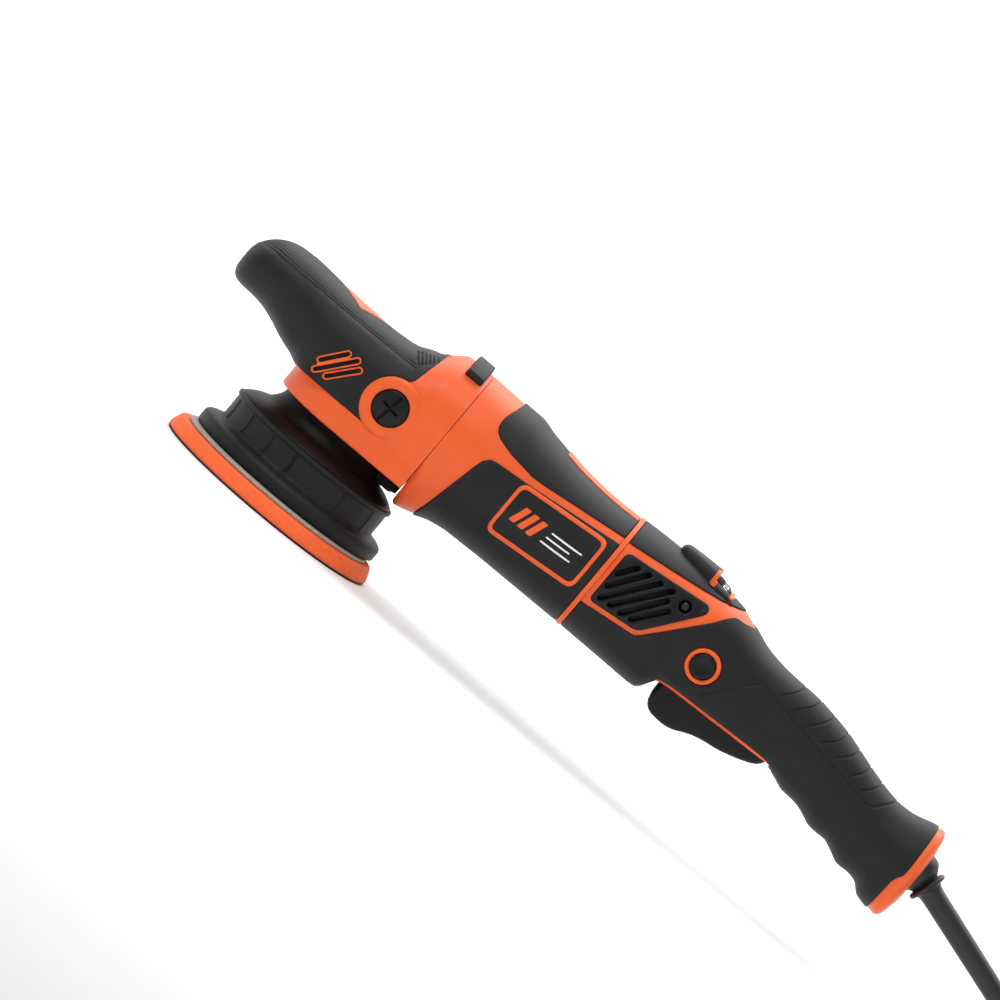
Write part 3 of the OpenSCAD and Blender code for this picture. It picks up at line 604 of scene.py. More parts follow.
def patch(name, skin, loops, slot, replaces=(), height=0.8, edge=0.7, depth=0.7, origin=0.0, grooves=(),
          spacing=2.4, seam=None, relief=None, extra=None, look=None, step=1.1, floor=0.0):
    """A raised panel on a skin, in flat places (u, v), v being the girth from the angle origin.

    The first loop is its rim and the others are holes. It rises from floor at the rims to height within edge
    millimetres, has grooves (line, width, depth), and is closed underneath at depth. seam(u, v) says which
    stretches of rim meet each other and stay full height. relief(u, v, rim) adds to the height, rim being the
    distance from the rims."""
    loops = [thin_out(walk(loop, step), 0.12) for loop in loops]
    lines = [(walk(line, 0.9, closed=False), width, deep) for line, width, deep in grooves]
    rim = np.vstack([pairs(loop) for loop in loops])
    hard_rim = rim
    if seam is not None:
        hard_rim = rim[[not seam(*middle) for middle in (rim[:, :2] + rim[:, 2:]) / 2]]
    flat, triangles = triangulate(loops, fill_points(loops, rim, edge, lines, extra, spacing))
    u, v = flat[:, 0], flat[:, 1]
    level = np.full(len(flat), float(height))
    if edge > 0:
        t = np.clip(gap(flat, hard_rim) / edge, 0, 1)
        level = floor + (height - floor) * np.sqrt(np.maximum(1 - (1 - t) ** 2, 0))
    for line, width, deep in lines:
        near = gap(flat, pairs(line, closed=False)) / (width / 2)
        level -= deep * np.clip(1 - near ** 2, 0, 1)
    if relief is not None:
        level += relief(u, v, gap(flat, hard_rim))
    phi = origin + v / skin.girth(u)
    top = skin.at(u, phi, level)
    under = skin.at(u, phi, np.full(len(flat), -float(depth)))
    n = len(flat)
    faces = [tuple(t) for t in triangles] + [tuple(t[::-1] + n) for t in triangles]
    directed = {(t[i], t[(i + 1) % 3]) for t in triangles.tolist() for i in range(3)}
    for i, j in directed:
        if (j, i) not in directed and not (seam is not None and seam(*((flat[i] + flat[j]) / 2))):
            faces.append((j, i, i + n, j + n))
    return add(name, np.vstack([top, under]), faces, slot, replaces, look=look, sharp=50,
               merge=0.004 if seam is not None else 0.0005)


def shell(name, skin, rows, slot, replaces=(), depth=2.0, start=0.0, end=2 * math.pi, around=144):
    """A stretch of a skin with a wall: rows of (u, height) along it, over the angles start to end."""
    full = end - start > 6.28
    n = around if full else around + 1
    phis = start + np.arange(n) * (end - start) / around
    inner = [(u, h - depth) for u, h in rows[::-1]]
    loop = list(rows) + inner
    verts = np.vstack([skin.at(np.full(n, float(u)), phis, np.full(n, float(h))) for u, h in loop])
    faces = []
    count = len(loop)
    for i in range(count):
        k = (i + 1) % count
        for j in range(around):
            m = (j + 1) % n
            faces.append((i * n + j, k * n + j, k * n + m, i * n + m))
    if not full:
        half = len(rows)
        for edge in (0, n - 1):
            for i in range(half - 1):
                a, b = i, i + 1
                c, d = count - 2 - i, count - 1 - i
                quad = (a * n + edge, b * n + edge, c * n + edge, d * n + edge)
                faces.append(quad if edge == 0 else quad[::-1])
    return add(name, verts, faces, slot, replaces)


def steps(u0, u1, step=1.5, height=0.0, lip=0.0):
    """Rows for shell, with the outer edge rounded over lip at both ends."""
    middle = [(u, height) for u in np.linspace(u0 + lip, u1 - lip, max(2, math.ceil((u1 - u0) / step)))]
    if not lip:
        return middle
    arc = [(1 - math.cos(t), 1 - math.sin(t)) for t in np.linspace(0, math.pi / 2, 6)[:-1]]
    return ([(u0 + lip * a, height - lip * b) for a, b in arc] + middle
            + [(u1 - lip * a, height - lip * b) for a, b in arc[::-1]])


def carve(piece, cutters):
    """Cuts solid bmeshes, in millimetres, out of a piece."""
    made = []
    for bm in cutters:
        bm.transform(Matrix.Scale(MM, 4))
        mesh = bpy.data.meshes.new("cutter")
        bm.to_mesh(mesh)
        bm.free()
        tool = place_object("cutter", mesh)
        made.append(tool)
        step = piece.modifiers.new("cut", "BOOLEAN")
        step.operation = "DIFFERENCE"
        step.solver = "EXACT"
        step.object = tool
    bpy.context.view_layer.update()
    cut = bpy.data.meshes.new_from_object(piece.evaluated_get(bpy.context.evaluated_depsgraph_get()))
    piece.modifiers.clear()
    look = piece.data.materials[0]
    bm = bmesh.new()
    bm.from_mesh(cut)
    bmesh.ops.dissolve_degenerate(bm, edges=bm.edges, dist=TINY)
    finish_mesh(bm, cut, CREASE)
    piece.data = cut
    cut.materials.clear()
    cut.materials.append(look)
    for tool in made:
        bpy.data.objects.remove(tool)


def block(x0, y0, z0, x1, y1, z1):
    return prism_mesh([(x0, y0), (x1, y0), (x1, y1), (x0, y1)], z0, z1)


def rod(radius, length, place):
    bm = prism_mesh(ring((0, 0), radius, math.pi / 32), 0, length)
    bm.transform(place)
    return bm


def join(pieces, name):
    """One piece out of several: the first keeps its ride and slot."""
    first = pieces[0]
    bm = bmesh.new()
    for p in pieces:
        bm.from_mesh(p.data)
    mesh = bpy.data.meshes.new(name)
    bm.to_mesh(mesh)
    bm.free()
    mesh.materials.append(first.data.materials[0])
    first.data = mesh
    first.name = name
    for p in pieces[1:]:
        bpy.data.objects.remove(p)
    return first


# ---------------------------------------------------------------- the housings' surfaces

def straight(*rows):
    """Rows for a skin whose u is their x. One roundness given does for above and below."""
    return [(row[0], *row) + (row[-1:] if len(row) == 5 else ()) for row in rows]


HEAD = Skin([(-103, -89, 88.2, 87.4, 0.4, 2, 2), (-99.5, -88.9, 91.8, 83, 7.5, 2.1, 2.1),
             (-96, -88.2, 95.2, 79.8, 13, 2.1, 2.2), (-92, -86.3, 98.9, 77.2, 18, 2.1, 2.3),
             (-87.5, -83.2, 102.2, 76, 22, 2.2, 2.4), (-82, -79.2, 105.1, 75.5, 24.6, 2.3, 2.4),
             (-77, -75, 107, 75.4, 26.5, 2.4, 2.4), (-69, -68, 108.4, 74.6, 28.5, 2.4, 2.4),
             *straight((-60, 108.6, 72.4, 30, 2.5), (-50, 108, 68.2, 31, 2.5),
                       (-46, 107.7, 66.8, 31.4, 2.5), (-40, 107, 65, 32, 2.5, 2.6),
                       (-36, 106.7, 62.6, 32.6, 2.5, 2.8), (-30, 106.3, 60, 33.5, 2.5, 3.2),
                       (-15, 106, 57, 35, 2.5, 4.5), (0, 106.8, 53, 36, 2.5, 6),
                       (5, 107.6, 51.8, 36.4, 2.5, 8), (12, 110.6, 51.6, 36.8, 2.5, 8),
                       (17, 112.4, 51.6, 37.1, 2.5, 8), (20.5, 114.6, 51.6, 37.3, 2.5, 8),
                       (24, 117.3, 51.6, 37.6, 2.45, 8), (27, 119.5, 51.6, 37.8, 2.4, 8),
                       (28.6, 120.2, 51.6, 37.9, 2.35, 8), (31, 120.4, 51.6, 38, 2.3, 8),
                       (36, 120.4, 51.6, 38.2, 2.3, 8), (44, 120.4, 51.6, 38.2, 2.3, 8))])
BARREL = Skin(straight((44.1, 120.4, 42, 38.2, 2.3), (45.6, 120.4, 40.4, 38.4, 2.3),
                       (50, 120.3, 41.2, 38.4, 2.3), (56, 120, 43, 38.2, 2.3),
                       (65, 119.8, 46.2, 37.6, 2.2), (75, 119.7, 47.6, 37, 2.2),
                       (85, 117.3, 47.9, 36.5, 2.2), (95, 115.5, 48.2, 36, 2.2),
                       (110, 113.1, 48.3, 35.6, 2.2), (130, 112, 48.4, 35.4, 2.2),
                       (144.5, 112.4, 48.5, 35.4, 2.2)))
BAND = Skin(straight((140, 113.1, 48.5, 35.4, 2.2), (150, 113.1, 48.5, 35.4, 2.2)))
REAR = Skin(straight((147.2, 113.6, 48.5, 35.4, 2.2), (160, 114.2, 48.4, 34.2, 2.2),
                     (175, 114.4, 48.3, 32.4, 2.2, 2.3), (188, 114.2, 48.2, 30.7, 2.2, 2.6),
                     (194, 113.8, 48.7, 29.9, 2.2, 3), (196.5, 113.6, 51, 29.5, 2.2, 3.4),
                     (199.5, 113.4, 56.6, 29.1, 2.2, 4), (203, 113, 59.2, 28.5, 2.2, 4.6),
                     (214, 111.3, 60, 26.6, 2.2, 5), (224, 107.7, 60.3, 24.8, 2.2, 5),
                     (235, 103.9, 60.6, 22.8, 2.2, 5), (250, 101.8, 61, 20.6, 2.2, 5),
                     (262, 101.4, 61, 19.2, 2.2, 4.6), (270, 101, 60.6, 18.6, 2.2, 3.6),
                     (278, 99.9, 58.2, 18.2, 2.2, 2.6), (284, 98.9, 56, 18.1, 2.2, 2.3),
                     (290, 97.7, 55.7, 18, 2.2), (295, 96.4, 55, 18, 2.2), (300, 94.9, 53.2, 18, 2.2),
                     (305, 93.4, 51.2, 18, 2.2), (310, 91.9, 50.8, 18, 2.2), (315, 90.5, 51, 18, 2.2),
                     (321, 89, 48.8, 18.2, 2.2), (329, 87.5, 45.6, 18.6, 2.2), (334, 87, 45.9, 19.3, 2.2),
                     (340, 87.3, 44.8, 20.6, 2.2), (346, 88.6, 40, 22, 2.2), (353, 90.5, 38.4, 23.2, 2.2),
                     (358, 91, 37.9, 23.7, 2.2)))
CAP = Skin(straight((352.4, 90.3, 38.5, 23, 2.2), (355.8, 90.7, 37.9, 23.5, 2.2),
                    (357.6, 91.4, 37.6, 24.1, 2.2), (359.2, 90.9, 38.3, 23.7, 2.2),
                    (360.4, 88.9, 40.4, 22.2, 2.2), (361.2, 85.5, 43.6, 20, 2.2),
                    (361.8, 81.5, 47.5, 17, 2.2)))

# ---------------------------------------------------------------- outlines and lines in side view, as (x, z)

GRIP_EDGE = [(-38.6, 64.3), (-36, 64.2), (-30, 64.1), (3, 64.6), (9.5, 64.3), (5, 67.3), (1.5, 71.5),
             (-0.4, 76), (-0.5, 80), (1, 85), (3.6, 89), (6.5, 92), (10, 93.2), (13.5, 94), (15.6, 96.3),
             (16.4, 99.5), (17.6, 105), (20.2, 114.6)]
HEAD_SLOTS = [((-26.7, 74.6), (-18, 85.6)), ((-25.9, 69.3), (-12.2, 86)), ((-19.4, 70.3), (-8.6, 82.9))]
BOSS = (15, 78.7)
HEAD_REAR = 43.95
PANEL_TOP = [(61.9, 114), (61.1, 111), (61, 108.3), (61.6, 105.6), (63, 103.4), (66.5, 101.4), (75, 99.2),
             (90, 97.4), (96, 97.6), (144.3, 102.9)]
PANEL_LOW = [(56.6, 46), (58.5, 53.5), (64.9, 83.6), (66.2, 88), (68.6, 91), (72, 92), (90, 93.4),
             (144.3, 99.3)]
PLATE = [(88, 63), (140, 67.5), (140, 96.8), (88, 92.8)]
PLATE_IN = [(90.1, 65.3), (137.9, 69.5), (137.9, 94.6), (90.1, 90.8)]
UPPER_EDGE = [(147.2, 102.7), (150, 102.9), (175, 105.7), (190, 107.5), (200, 108.9), (205, 109.9),
              (210, 110.9), (213.6, 111.6)]
LOWER_EDGE = [(225.5, 107.2), (223.5, 107.9), (220, 108.05), (217, 107.6), (212.5, 107.4), (211, 107.1),
              (209.3, 105.8), (206.5, 102.4), (204, 99), (180.5, 71.8), (178, 69.6), (147.2, 66)]
TRIM_LINE = [(200.5, 59.6), (203, 60.6), (210, 61.7), (230, 62.2), (250, 62.9), (262, 63.2), (268, 63),
             (271, 62), (273.4, 60.4)]
CAP_EDGE = [(353, 45), (353.2, 57.5), (354.2, 60.4), (356, 63.6), (356.2, 68), (355.6, 82)]
VENT_COVER = [(149.6, 69), (178, 71.9), (199.6, 100.4), (198, 104), (149.6, 99.2)]
VENT_HOLE = [(151.2, 70.8), (177, 73.6), (197.4, 100.6), (196.6, 102.2), (151.2, 97.6)]
VENT_SLOTS = [((152.6, 88), (158.5, 96)), ((152.6, 80.5), (165, 97)), ((153.6, 73.6), (172, 97.4)),
              ((159.5, 74), (179, 98)), ((166, 74), (180, 93)), ((172, 75), (183.5, 89.4))]
UNDER_SEAM = (352.9, *np.arange(348, 275, -6.0), 273.4, 200.5, 199, 197.5, 196, 194, 190, 180, 170, 160, 150,
              147.2)
GRIP_LINE = [(221, 67.5), (239.5, 88.5), (242, 90.2), (245, 90.6), (250, 90), (300, 82), (319, 78.3),
             (321.5, 78.2), (323.5, 79.4), (331.6, 87.8)]
LOCK_AT = (214, 79.4)
COVER_SCREW_AT = (188.4, 96.2)
TRIGGER_PIN_AT = (264, 64.6)
DIAL_AT = (194.6, 0, 104.6)
DIAL_TILT = 11.3
DIAL_R = 11.8
NOTCHES = [((260, 101.3), (258.5, 98), (252, 91.5)), ((270.6, 100.8), (268.5, 97), (262, 90.5)),
           ((280.6, 99.4), (278.6, 95.6), (273, 89)), ((290.8, 97.2), (289.5, 93), (283, 87)),
           ((300.6, 94.6), (299, 91), (292.5, 85)), ((310, 91.8), (309, 88.4), (305.6, 84.6)),
           ((319.4, 89.2), (318, 85.8), (313.6, 81.6))]


def mirrored(half):
    """A closed loop from flat points on one side and their mirror images on the other."""
    return np.vstack([half, (half * (1, -1))[::-1]])


def by_y(skin, points, over=True):
    """Flat places from (u, y), on the top of a skin or, from its underside, on the bottom."""
    out = []
    for u, y in points:
        _, top, low, half, above, below = (float(v) for v in skin.row(u))
        n = above if over else below
        rise = (top - low) / 2 * (1 - min(abs(y / half), 1) ** n) ** (1 / n)
        turn = math.atan2(y, rise) if over else -math.atan2(y, rise)
        out.append((u, turn * float(skin.girth(u))))
    return np.array(out)


# ---------------------------------------------------------------- head

def on_far_line(u, v):
    """Whether a flat place on the head lies on the line opposite the origin, where its two sides meet."""
    return abs(abs(v) - math.pi * HEAD.girth(u)) < 0.02


def head_housing():
    """The orange skin left bare by the grip, over a base block, with a boss on each side."""
    over = np.arange(HEAD_REAR, 21, -1.5)
    seam = np.stack([over, -math.pi * HEAD.girth(over)], -1)
    back = by_y(HEAD, [(21, 0), (20.9, 6), (20.6, 12)])
    back[:, 1] -= math.pi * HEAD.girth(back[:, 0])
    side = np.array(walk(HEAD.side(GRIP_EDGE, RIGHT, math.pi), 0.9, closed=False))[::-1]
    loop = mirrored(np.vstack([seam, back, side]))
    holes = [HEAD.side(ring(BOSS, 12), side, math.pi) for side in BOTH]

    def hidden(u, v):
        return 21 < u < HEAD_REAR - 0.01 and on_far_line(u, v)

    piece = patch("gear_housing_skin", HEAD, [loop, *holes], "orange_metal", height=-0.05, edge=0, depth=3,
                  origin=math.pi, seam=hidden)
    flank = [(43.9, 38), (28, 37.7), (12, 36.7), (3, 36.25)]
    nose = [(35 * math.sin(a), -36.2 * math.cos(a)) for a in np.linspace(0, -math.pi, 61)]
    base = [(x, -y) for x, y in flank] + nose + flank[::-1]
    parts = [piece, prism("gear_housing_base", base, 51.5, 64.4, "orange_metal", bevel=1.0, segments=4)]
    boss = [(9.6, 30), (9.6, 37.6), (9.9, 38.0), (10.4, 38.2), (12.5, 38.2), (14, 37.9), (15.2, 37.4),
            (15.6, 36.9), (15.6, 30)]
    for side in BOTH:
        parts.append(lathe("boss", boss, "orange_metal", place=facing(side, *BOSS), count=96))
    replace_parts(join(parts, "gear_housing_skin"), "gear_housing")


def insert_outline():
    """The textured insert on top of the front grip, round both sides."""
    right = HEAD.side([(12.5, 100.2), (0, 99.9), (-20, 99.7), (-50, 99.5), (-62, 99.4), (-70, 99.3),
                       (-78, 99)], RIGHT)
    tip = [(-84, 21.8), (-88, 17.6), (-91.6, 12), (-94, 6)]
    back = by_y(HEAD, [(19, 6), (18, 17)])
    return mirrored(np.vstack([back, HEAD.side([(16, 106)], RIGHT), right, tip]))


def head_grip():
    """The rubber grip, with fine lines that follow the edge of the insert on its top."""
    seam_u = np.linspace(-39.2, -103, 78)
    seam = np.stack([seam_u, math.pi * HEAD.girth(seam_u)], -1)
    side = np.array(walk(HEAD.side(GRIP_EDGE, RIGHT), 0.9, closed=False))
    back = by_y(HEAD, [(20.6, 12), (20.9, 6), (21, 0)])
    loop = mirrored(np.vstack([back[::-1], side[::-1], seam]))[:-1]
    insert = insert_outline()
    walls = pairs(thin_out(walk(insert, 1.0), 0.05))

    def relief(u, v, rim):
        pts = np.stack([u, v], -1)
        d = gap(pts, walls)
        within = inside(pts, [insert])
        fade = np.clip(1.15 - d / 17, 0.4, 1) * np.where(d < 3.4, 1.25, 1)
        wave = -0.4 * fade * (0.5 - 0.5 * np.cos(2 * math.pi * d / 1.7))
        diamond = (np.abs(u + 28) / 16.5 + np.abs(v) / 20) < 1
        return np.where(within & ~diamond, wave, 0)

    low, high = np.array(insert).min(0), np.array(insert).max(0)
    across, along = (np.arange(a, b, 0.6) for a, b in zip(low, high))
    fine = np.array([(x, y) for x in across for y in along])
    fine = fine[inside(fine, [insert])]
    grooves = []
    for side in BOTH:
        grooves += [(HEAD.side(slot, side), 2.6, 1.5) for slot in HEAD_SLOTS]
        for k in range(6):
            tick = [(7 + 1.9 * k, 107.2 + 0.8 * k), (11.5 + 1.4 * k, 103.4 + 1.2 * k)]
            grooves.append((HEAD.side(tick, side), 1.0, 0.6))

    def hidden(u, v):
        return u < -39.15 and on_far_line(u, v) or u < -102.9

    patch("front_grip", HEAD, [loop], "soft_black", ["head_grip"], height=0.35, edge=0.55, depth=3.0,
          floor=-0.35, grooves=grooves, relief=relief, extra=fine, seam=hidden, step=2.0)


def head_trim():
    made = [patch("diamond", HEAD, [soften([(-43, 0), (-28, 18.2), (-13, 0), (-28, -18.2)], 2.2)],
                  "orange_plastic", height=0.75, edge=0.4, depth=0.6, spacing=1.6)]
    for side in BOTH:
        for a, b in HEAD_SLOTS:
            loops = [HEAD.side(slot_outline(a, b, w), side) for w in (3.9, 2.2)]
            made.append(patch("slot_rim", HEAD, loops, "orange_plastic", height=0.75, edge=0.38, depth=0.5,
                              floor=0.2, spacing=1.2, step=0.6))
        bar = HEAD.side(slot_outline((-26.2, 72.4), (-16.4, 84.2), 1.5), side)
        made.append(patch("slot_bar", HEAD, [bar], "orange_plastic", height=0.7, edge=0.4, depth=0.5,
                          floor=0.2, spacing=1.2, step=0.6))
    trim = join(made, "head_trim_skin")
    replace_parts(trim, "head_trim")


def bumper():
    right = np.vstack([HEAD.side([(x, 114.2)], RIGHT) for x in (42, 31.8)])
    loop = soften(mirrored(right), 1.5)
    patch("top_bumper_skin", HEAD, [loop], "hard_black", ["top_bumper"], height=3.8, edge=0.8, depth=0.3,
          spacing=1.6, look="soft_black")


def screw_slots(piece, place, sizes, turns, half_width, low, high):
    """Cuts a cross into a screw head: sizes are the half lengths of its two slots, turns their angles."""
    cutters = []
    for half, turn in zip(sizes, turns):
        bm = block(-half_width, -half, low, half_width, half, high)
        bm.transform(place @ Matrix.Rotation(turn, 4, "Z"))
        cutters.append(bm)
    carve(piece, cutters)


def plugs():
    disc = [(0, 27), (4, 27), (4, 30), (9.2, 30), (9.2, 37.7), (8.9, 38.3), (8.3, 38.6), (0, 38.6)]
    made = []
    for side in BOTH:
        place = facing(side, *BOSS)
        piece = lathe("plug_disc", disc, "hard_black", place=place, count=96, sharp=50)
        turns = [-side * turn for turn in (-0.18, -0.18 + math.pi / 2)]
        screw_slots(piece, place, (8.3, 4.9), turns, 0.75, 35.6, 42)
        made.append(piece)
    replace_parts(join(made, "side_plugs_skin"), "side_plugs")


def neck():
    cone = [(28.8, 49.3), (28.8, 51.4), (30.4, 51.4), (30.9, 49), (31.6, 47.1), (33, 45), (34.4, 43.4),
            (35.6, 42.2), (38, 41.4), (40.8, 40.3), (43.4, 38.9), (45.9, 37.2), (46.5, 36.6), (46.6, 36),
            (43.6, 36), (39.6, 38.2), (34.2, 40), (31.2, 43.3), (29, 47)]
    piece = lathe("neck", cone, "hard_black", look="gloss_black", count=180, sharp=55)
    foot = [(29.8, 44.9), (31.2, 44.0), (33.5, 43.8), (40.2, 43.8), (41.4, 44.8), (43.4, 45.2), (43.6, 48.9),
            (29.8, 48.9)]
    lug = prism("lug", foot, -9, 9, "hard_black", place=ON_SIDE, bevel=0.6)
    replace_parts(join([piece, lug], "neck_cone_skin"), "neck_cone")


SHROUD_SLITS = (-136.3, -115.2, -96.7, -57.9, -29.3, 0, 22, 45, 67, 90, 112, 135, 158, 180, -160)
SHROUD_WALL = 47.05


def shroud():
    """The rubber skirt, with shallow curved slits round its wall."""
    outline = [(48.5, 11.2), (49, 11), (54.6, 11), (55.3, 11.3), (55.7, 12), (55.7, 16.2), (55.4, 17.2),
               (54.6, 18.2), (53, 19), (50.4, 19.7), (48.6, 20.2), (47.5, 20.9), (47.1, 22)]
    outline += [(SHROUD_WALL, z) for z in np.arange(22.5, 32.6, 0.5)]
    outline += [(47.2, 33), (47.8, 33.4), (48.3, 33.9), (48.4, 34.6), (48.2, 35.5), (47.6, 35.9),
                (43.2, 35.9), (43.2, 34.6), (44.8, 34), (44.8, 22), (48.5, 18)]
    count = 720
    slits = [math.radians(a) for a in SHROUD_SLITS]
    verts = []
    for i in range(count):
        a = 2 * math.pi * i / count
        for r, z in outline:
            if abs(r - SHROUD_WALL) < 0.1 and 22 <= z <= 33:
                bow = 0.022 * math.sin((z - 20) / 12 * math.pi)
                near = 47 * min(abs((a - b - bow + math.pi) % (2 * math.pi) - math.pi) for b in slits)
                r -= 0.75 * max(0.0, 1 - (near / 0.75) ** 2) * min(1, (33 - z) / 1.5)
                r += 0.22 * math.exp(-((near - 1.3) / 0.5) ** 2)
            verts.append((r * math.cos(a), r * math.sin(a), z))
    add("shroud_skin", verts, ring_faces(count, len(outline)), "soft_black", ["shroud"], sharp=38)


# ---------------------------------------------------------------- pad

PAD = Matrix.Translation((-2.4, -7.1, 0))


def pad():
    foam = [(7.5, 1), (61.6, 1), (62.1, 1.2), (62.4, 1.6), (62.5, 2.2), (62.2, 3.4), (60.6, 7.6), (60.2, 8.3),
            (59.5, 8.7), (58.5, 8.8), (7.5, 8.8)]
    lathe("foam_plate", foam, "foam", ["pad_foam"], "pad", place=PAD, count=240, sharp=50)
    plate = [(7, 8.8), (55.4, 8.8), (55.9, 9.1), (56, 9.7), (55.9, 10.3), (55.4, 10.6), (7, 10.6)]
    lathe("backing_plate_skin", plate, "fibre", ["backing_plate"], "pad", place=PAD, count=200, sharp=60)
    hooks = [(5.5, 0), (61.8, 0), (62.1, 0.3), (62.2, 0.7), (62, 1), (5.5, 1)]
    lathe("hook_tape", hooks, "hook", ["hook_face"], "pad", place=PAD, count=240, sharp=60)


# ---------------------------------------------------------------- motor housing

def barrel():
    shell("motor_housing_skin", BARREL, steps(44.15, 144.4, 1.6, lip=0.35), "orange_plastic",
          ["motor_housing"], depth=2.6, around=160)
    over = np.vstack([by_y(BARREL, [(64.2, 1), (63.9, 9), (63, 18)]), BARREL.side(PANEL_TOP, RIGHT)])
    under = np.vstack([(56.4, -8.0), BARREL.side(PANEL_LOW, RIGHT, math.pi)])
    for place, half, origin in (("top", over, 0.0), ("bottom", under, math.pi)):
        patch(f"{place}_panel", BARREL, [soften(mirrored(half[::-1]), 0.8)], "soft_black", [f"panel_{place}"],
              depth=0.4, origin=origin, spacing=2.6)


def nameplates():
    """A framed plate on each side, with three plain bars and three plain lines on it."""
    made = []
    for side in BOTH:
        loops = [BARREL.side(soften(PLATE, 5, 6), side), BARREL.side(soften(PLATE_IN, 3.4, 6), side)]
        made.append(patch("plate_rim", BARREL, loops, "orange_plastic", height=1.5, edge=0.6, depth=-0.3,
                          floor=0.75, spacing=1.4, step=0.8))
        for k in range(3):
            bar = [(94 + 5.2 * k, 74.5), (97.4 + 5.2 * k, 74.5), (101 + 5.2 * k, 84.5),
                   (97.6 + 5.2 * k, 84.5)]
            made.append(patch("plate_mark", BARREL, [BARREL.side(soften(bar, 0.8), side)], "orange_plastic",
                              height=1.05, edge=0.2, depth=-0.5, floor=0.8, spacing=1.6, step=0.8))
    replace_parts(join(made, "nameplates_skin"), "nameplates")
    made = []
    for side in BOTH:
        for z, x0, x1 in ((82.6, 115.5, 133), (79.4, 114.4, 128), (76.2, 113.3, 130.5)):
            bar = slot_outline((x0, z), (x1, z + 0.06 * (x1 - x0)), 0.8)
            made.append(patch("plate_line", BARREL, [BARREL.side(bar, side)], "fan_plastic", height=1.0,
                              edge=0.15, depth=-0.5, floor=0.8, look="ink_white", spacing=1.2, step=0.6))
    join(made, "nameplate_lines")


def band():
    ring = shell("band_ring", BAND, steps(144.45, 147.05, 0.5, height=1.3, lip=0.55), "orange_plastic",
                 depth=4, around=160)
    strip = soften([(96.2, 10.4), (146, 10.6), (146, -10.6), (96.2, -10.4)], 1.2)
    stripe = patch("top_stripe", BARREL, [strip], "orange_plastic", height=1.35, edge=0.5, depth=0.3,
                   spacing=1.8)
    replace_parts(join([ring, stripe], "housing_band_skin"), "housing_band")


# ---------------------------------------------------------------- rear housing and handle

def rear_halves():
    for side, name in SIDES:
        start = 0.002 if side > 0 else -math.pi + 0.002
        rows = [(u, 0.0) for u in (*np.arange(147.1, 353, 2.0), 352.9)]
        piece = shell(f"rear_shell_{name}", REAR, rows, "orange_plastic", [f"rear_housing_{name}"], depth=2.6,
                      start=start, end=start + math.pi - 0.004, around=72)
        trigger_hole = block(199.8, -15.5, 40, 273.2, 15.5, 66)
        dial_hole = block(-6.4, -13.6, 0, 6, 13.6, 30)
        dial_hole.transform(Matrix.Translation(DIAL_AT) @ Matrix.Rotation(math.radians(DIAL_TILT), 4, "Y"))
        vent_hole = prism_mesh(soften(VENT_HOLE, 2), -50, 50)
        vent_hole.transform(ON_SIDE)
        carve(piece, [trigger_hole, dial_hole, rod(9.1, 40, facing(LEFT, *LOCK_AT)), vent_hole])


def grips():
    """The soft skin of each half: a panel on its top, and one on the rest with a grip line and notches."""
    for side, name in SIDES:
        edges = (UPPER_EDGE, LOWER_EDGE, TRIM_LINE, CAP_EDGE)
        upper, lower, trim, cap = (REAR.side(line, side) for line in edges)
        notch = by_y(REAR, [(205.4, 14.8 * side), (190.2, 14.8 * side)])
        below = [(u, side * math.pi * float(REAR.girth(u))) for u in UNDER_SEAM]
        split = UNDER_SEAM.index(200.5)
        big = np.vstack([lower[::-1], [(235, 0)], [(355.2, 0)], cap[::-1], below[:split], trim[::-1],
                         below[split:]])
        small = np.vstack([upper, [(214.2, 0)], [(205.4, 0)], notch, [(190.2, 0)], [(147.2, 0)]])
        grooves = [(REAR.side(GRIP_LINE, side), 1.8, 0.65)]
        for line in NOTCHES:
            run = REAR.side(smooth_route(line, 1.5), side)
            start = by_y(REAR, [(line[0][0] + 0.6, 0)])
            grooves.append((np.vstack([start, run]), 1.5, 0.65))
        holes = [REAR.side(ring(LOCK_AT, 9.3), side)] if side == LEFT else []
        one = patch(f"grip_{name}", REAR, [big] + holes, "soft_black", edge=0.6, depth=0.0, floor=0.1,
                    grooves=grooves, spacing=2.3, step=1.0)
        two = patch("grip_top", REAR, [small], "soft_black", edge=0.6, depth=0.0, floor=0.1, spacing=2.3,
                    step=1.0)
        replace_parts(join([one, two], f"handle_grip_{name}_skin"), f"handle_grip_{name}")


def trigger_frame():
    """The orange trim under the trigger: its edge lies a little over the grips'."""
    right, left = (REAR.side(TRIM_LINE, side, math.pi) for side in (RIGHT, LEFT))
    loop = np.vstack([right, left[::-1]]) * (1, 1.02)
    hole = by_y(REAR, [(201.4, -12.9), (271, -12.9), (271, 12.9), (201.4, 12.9)], over=False)
    patch("trigger_frame", REAR, [loop, soften(hole, 2)], "orange_plastic", ["trigger_trim"], height=0.75,
          edge=0.5, depth=2.4, origin=math.pi, spacing=2.0)


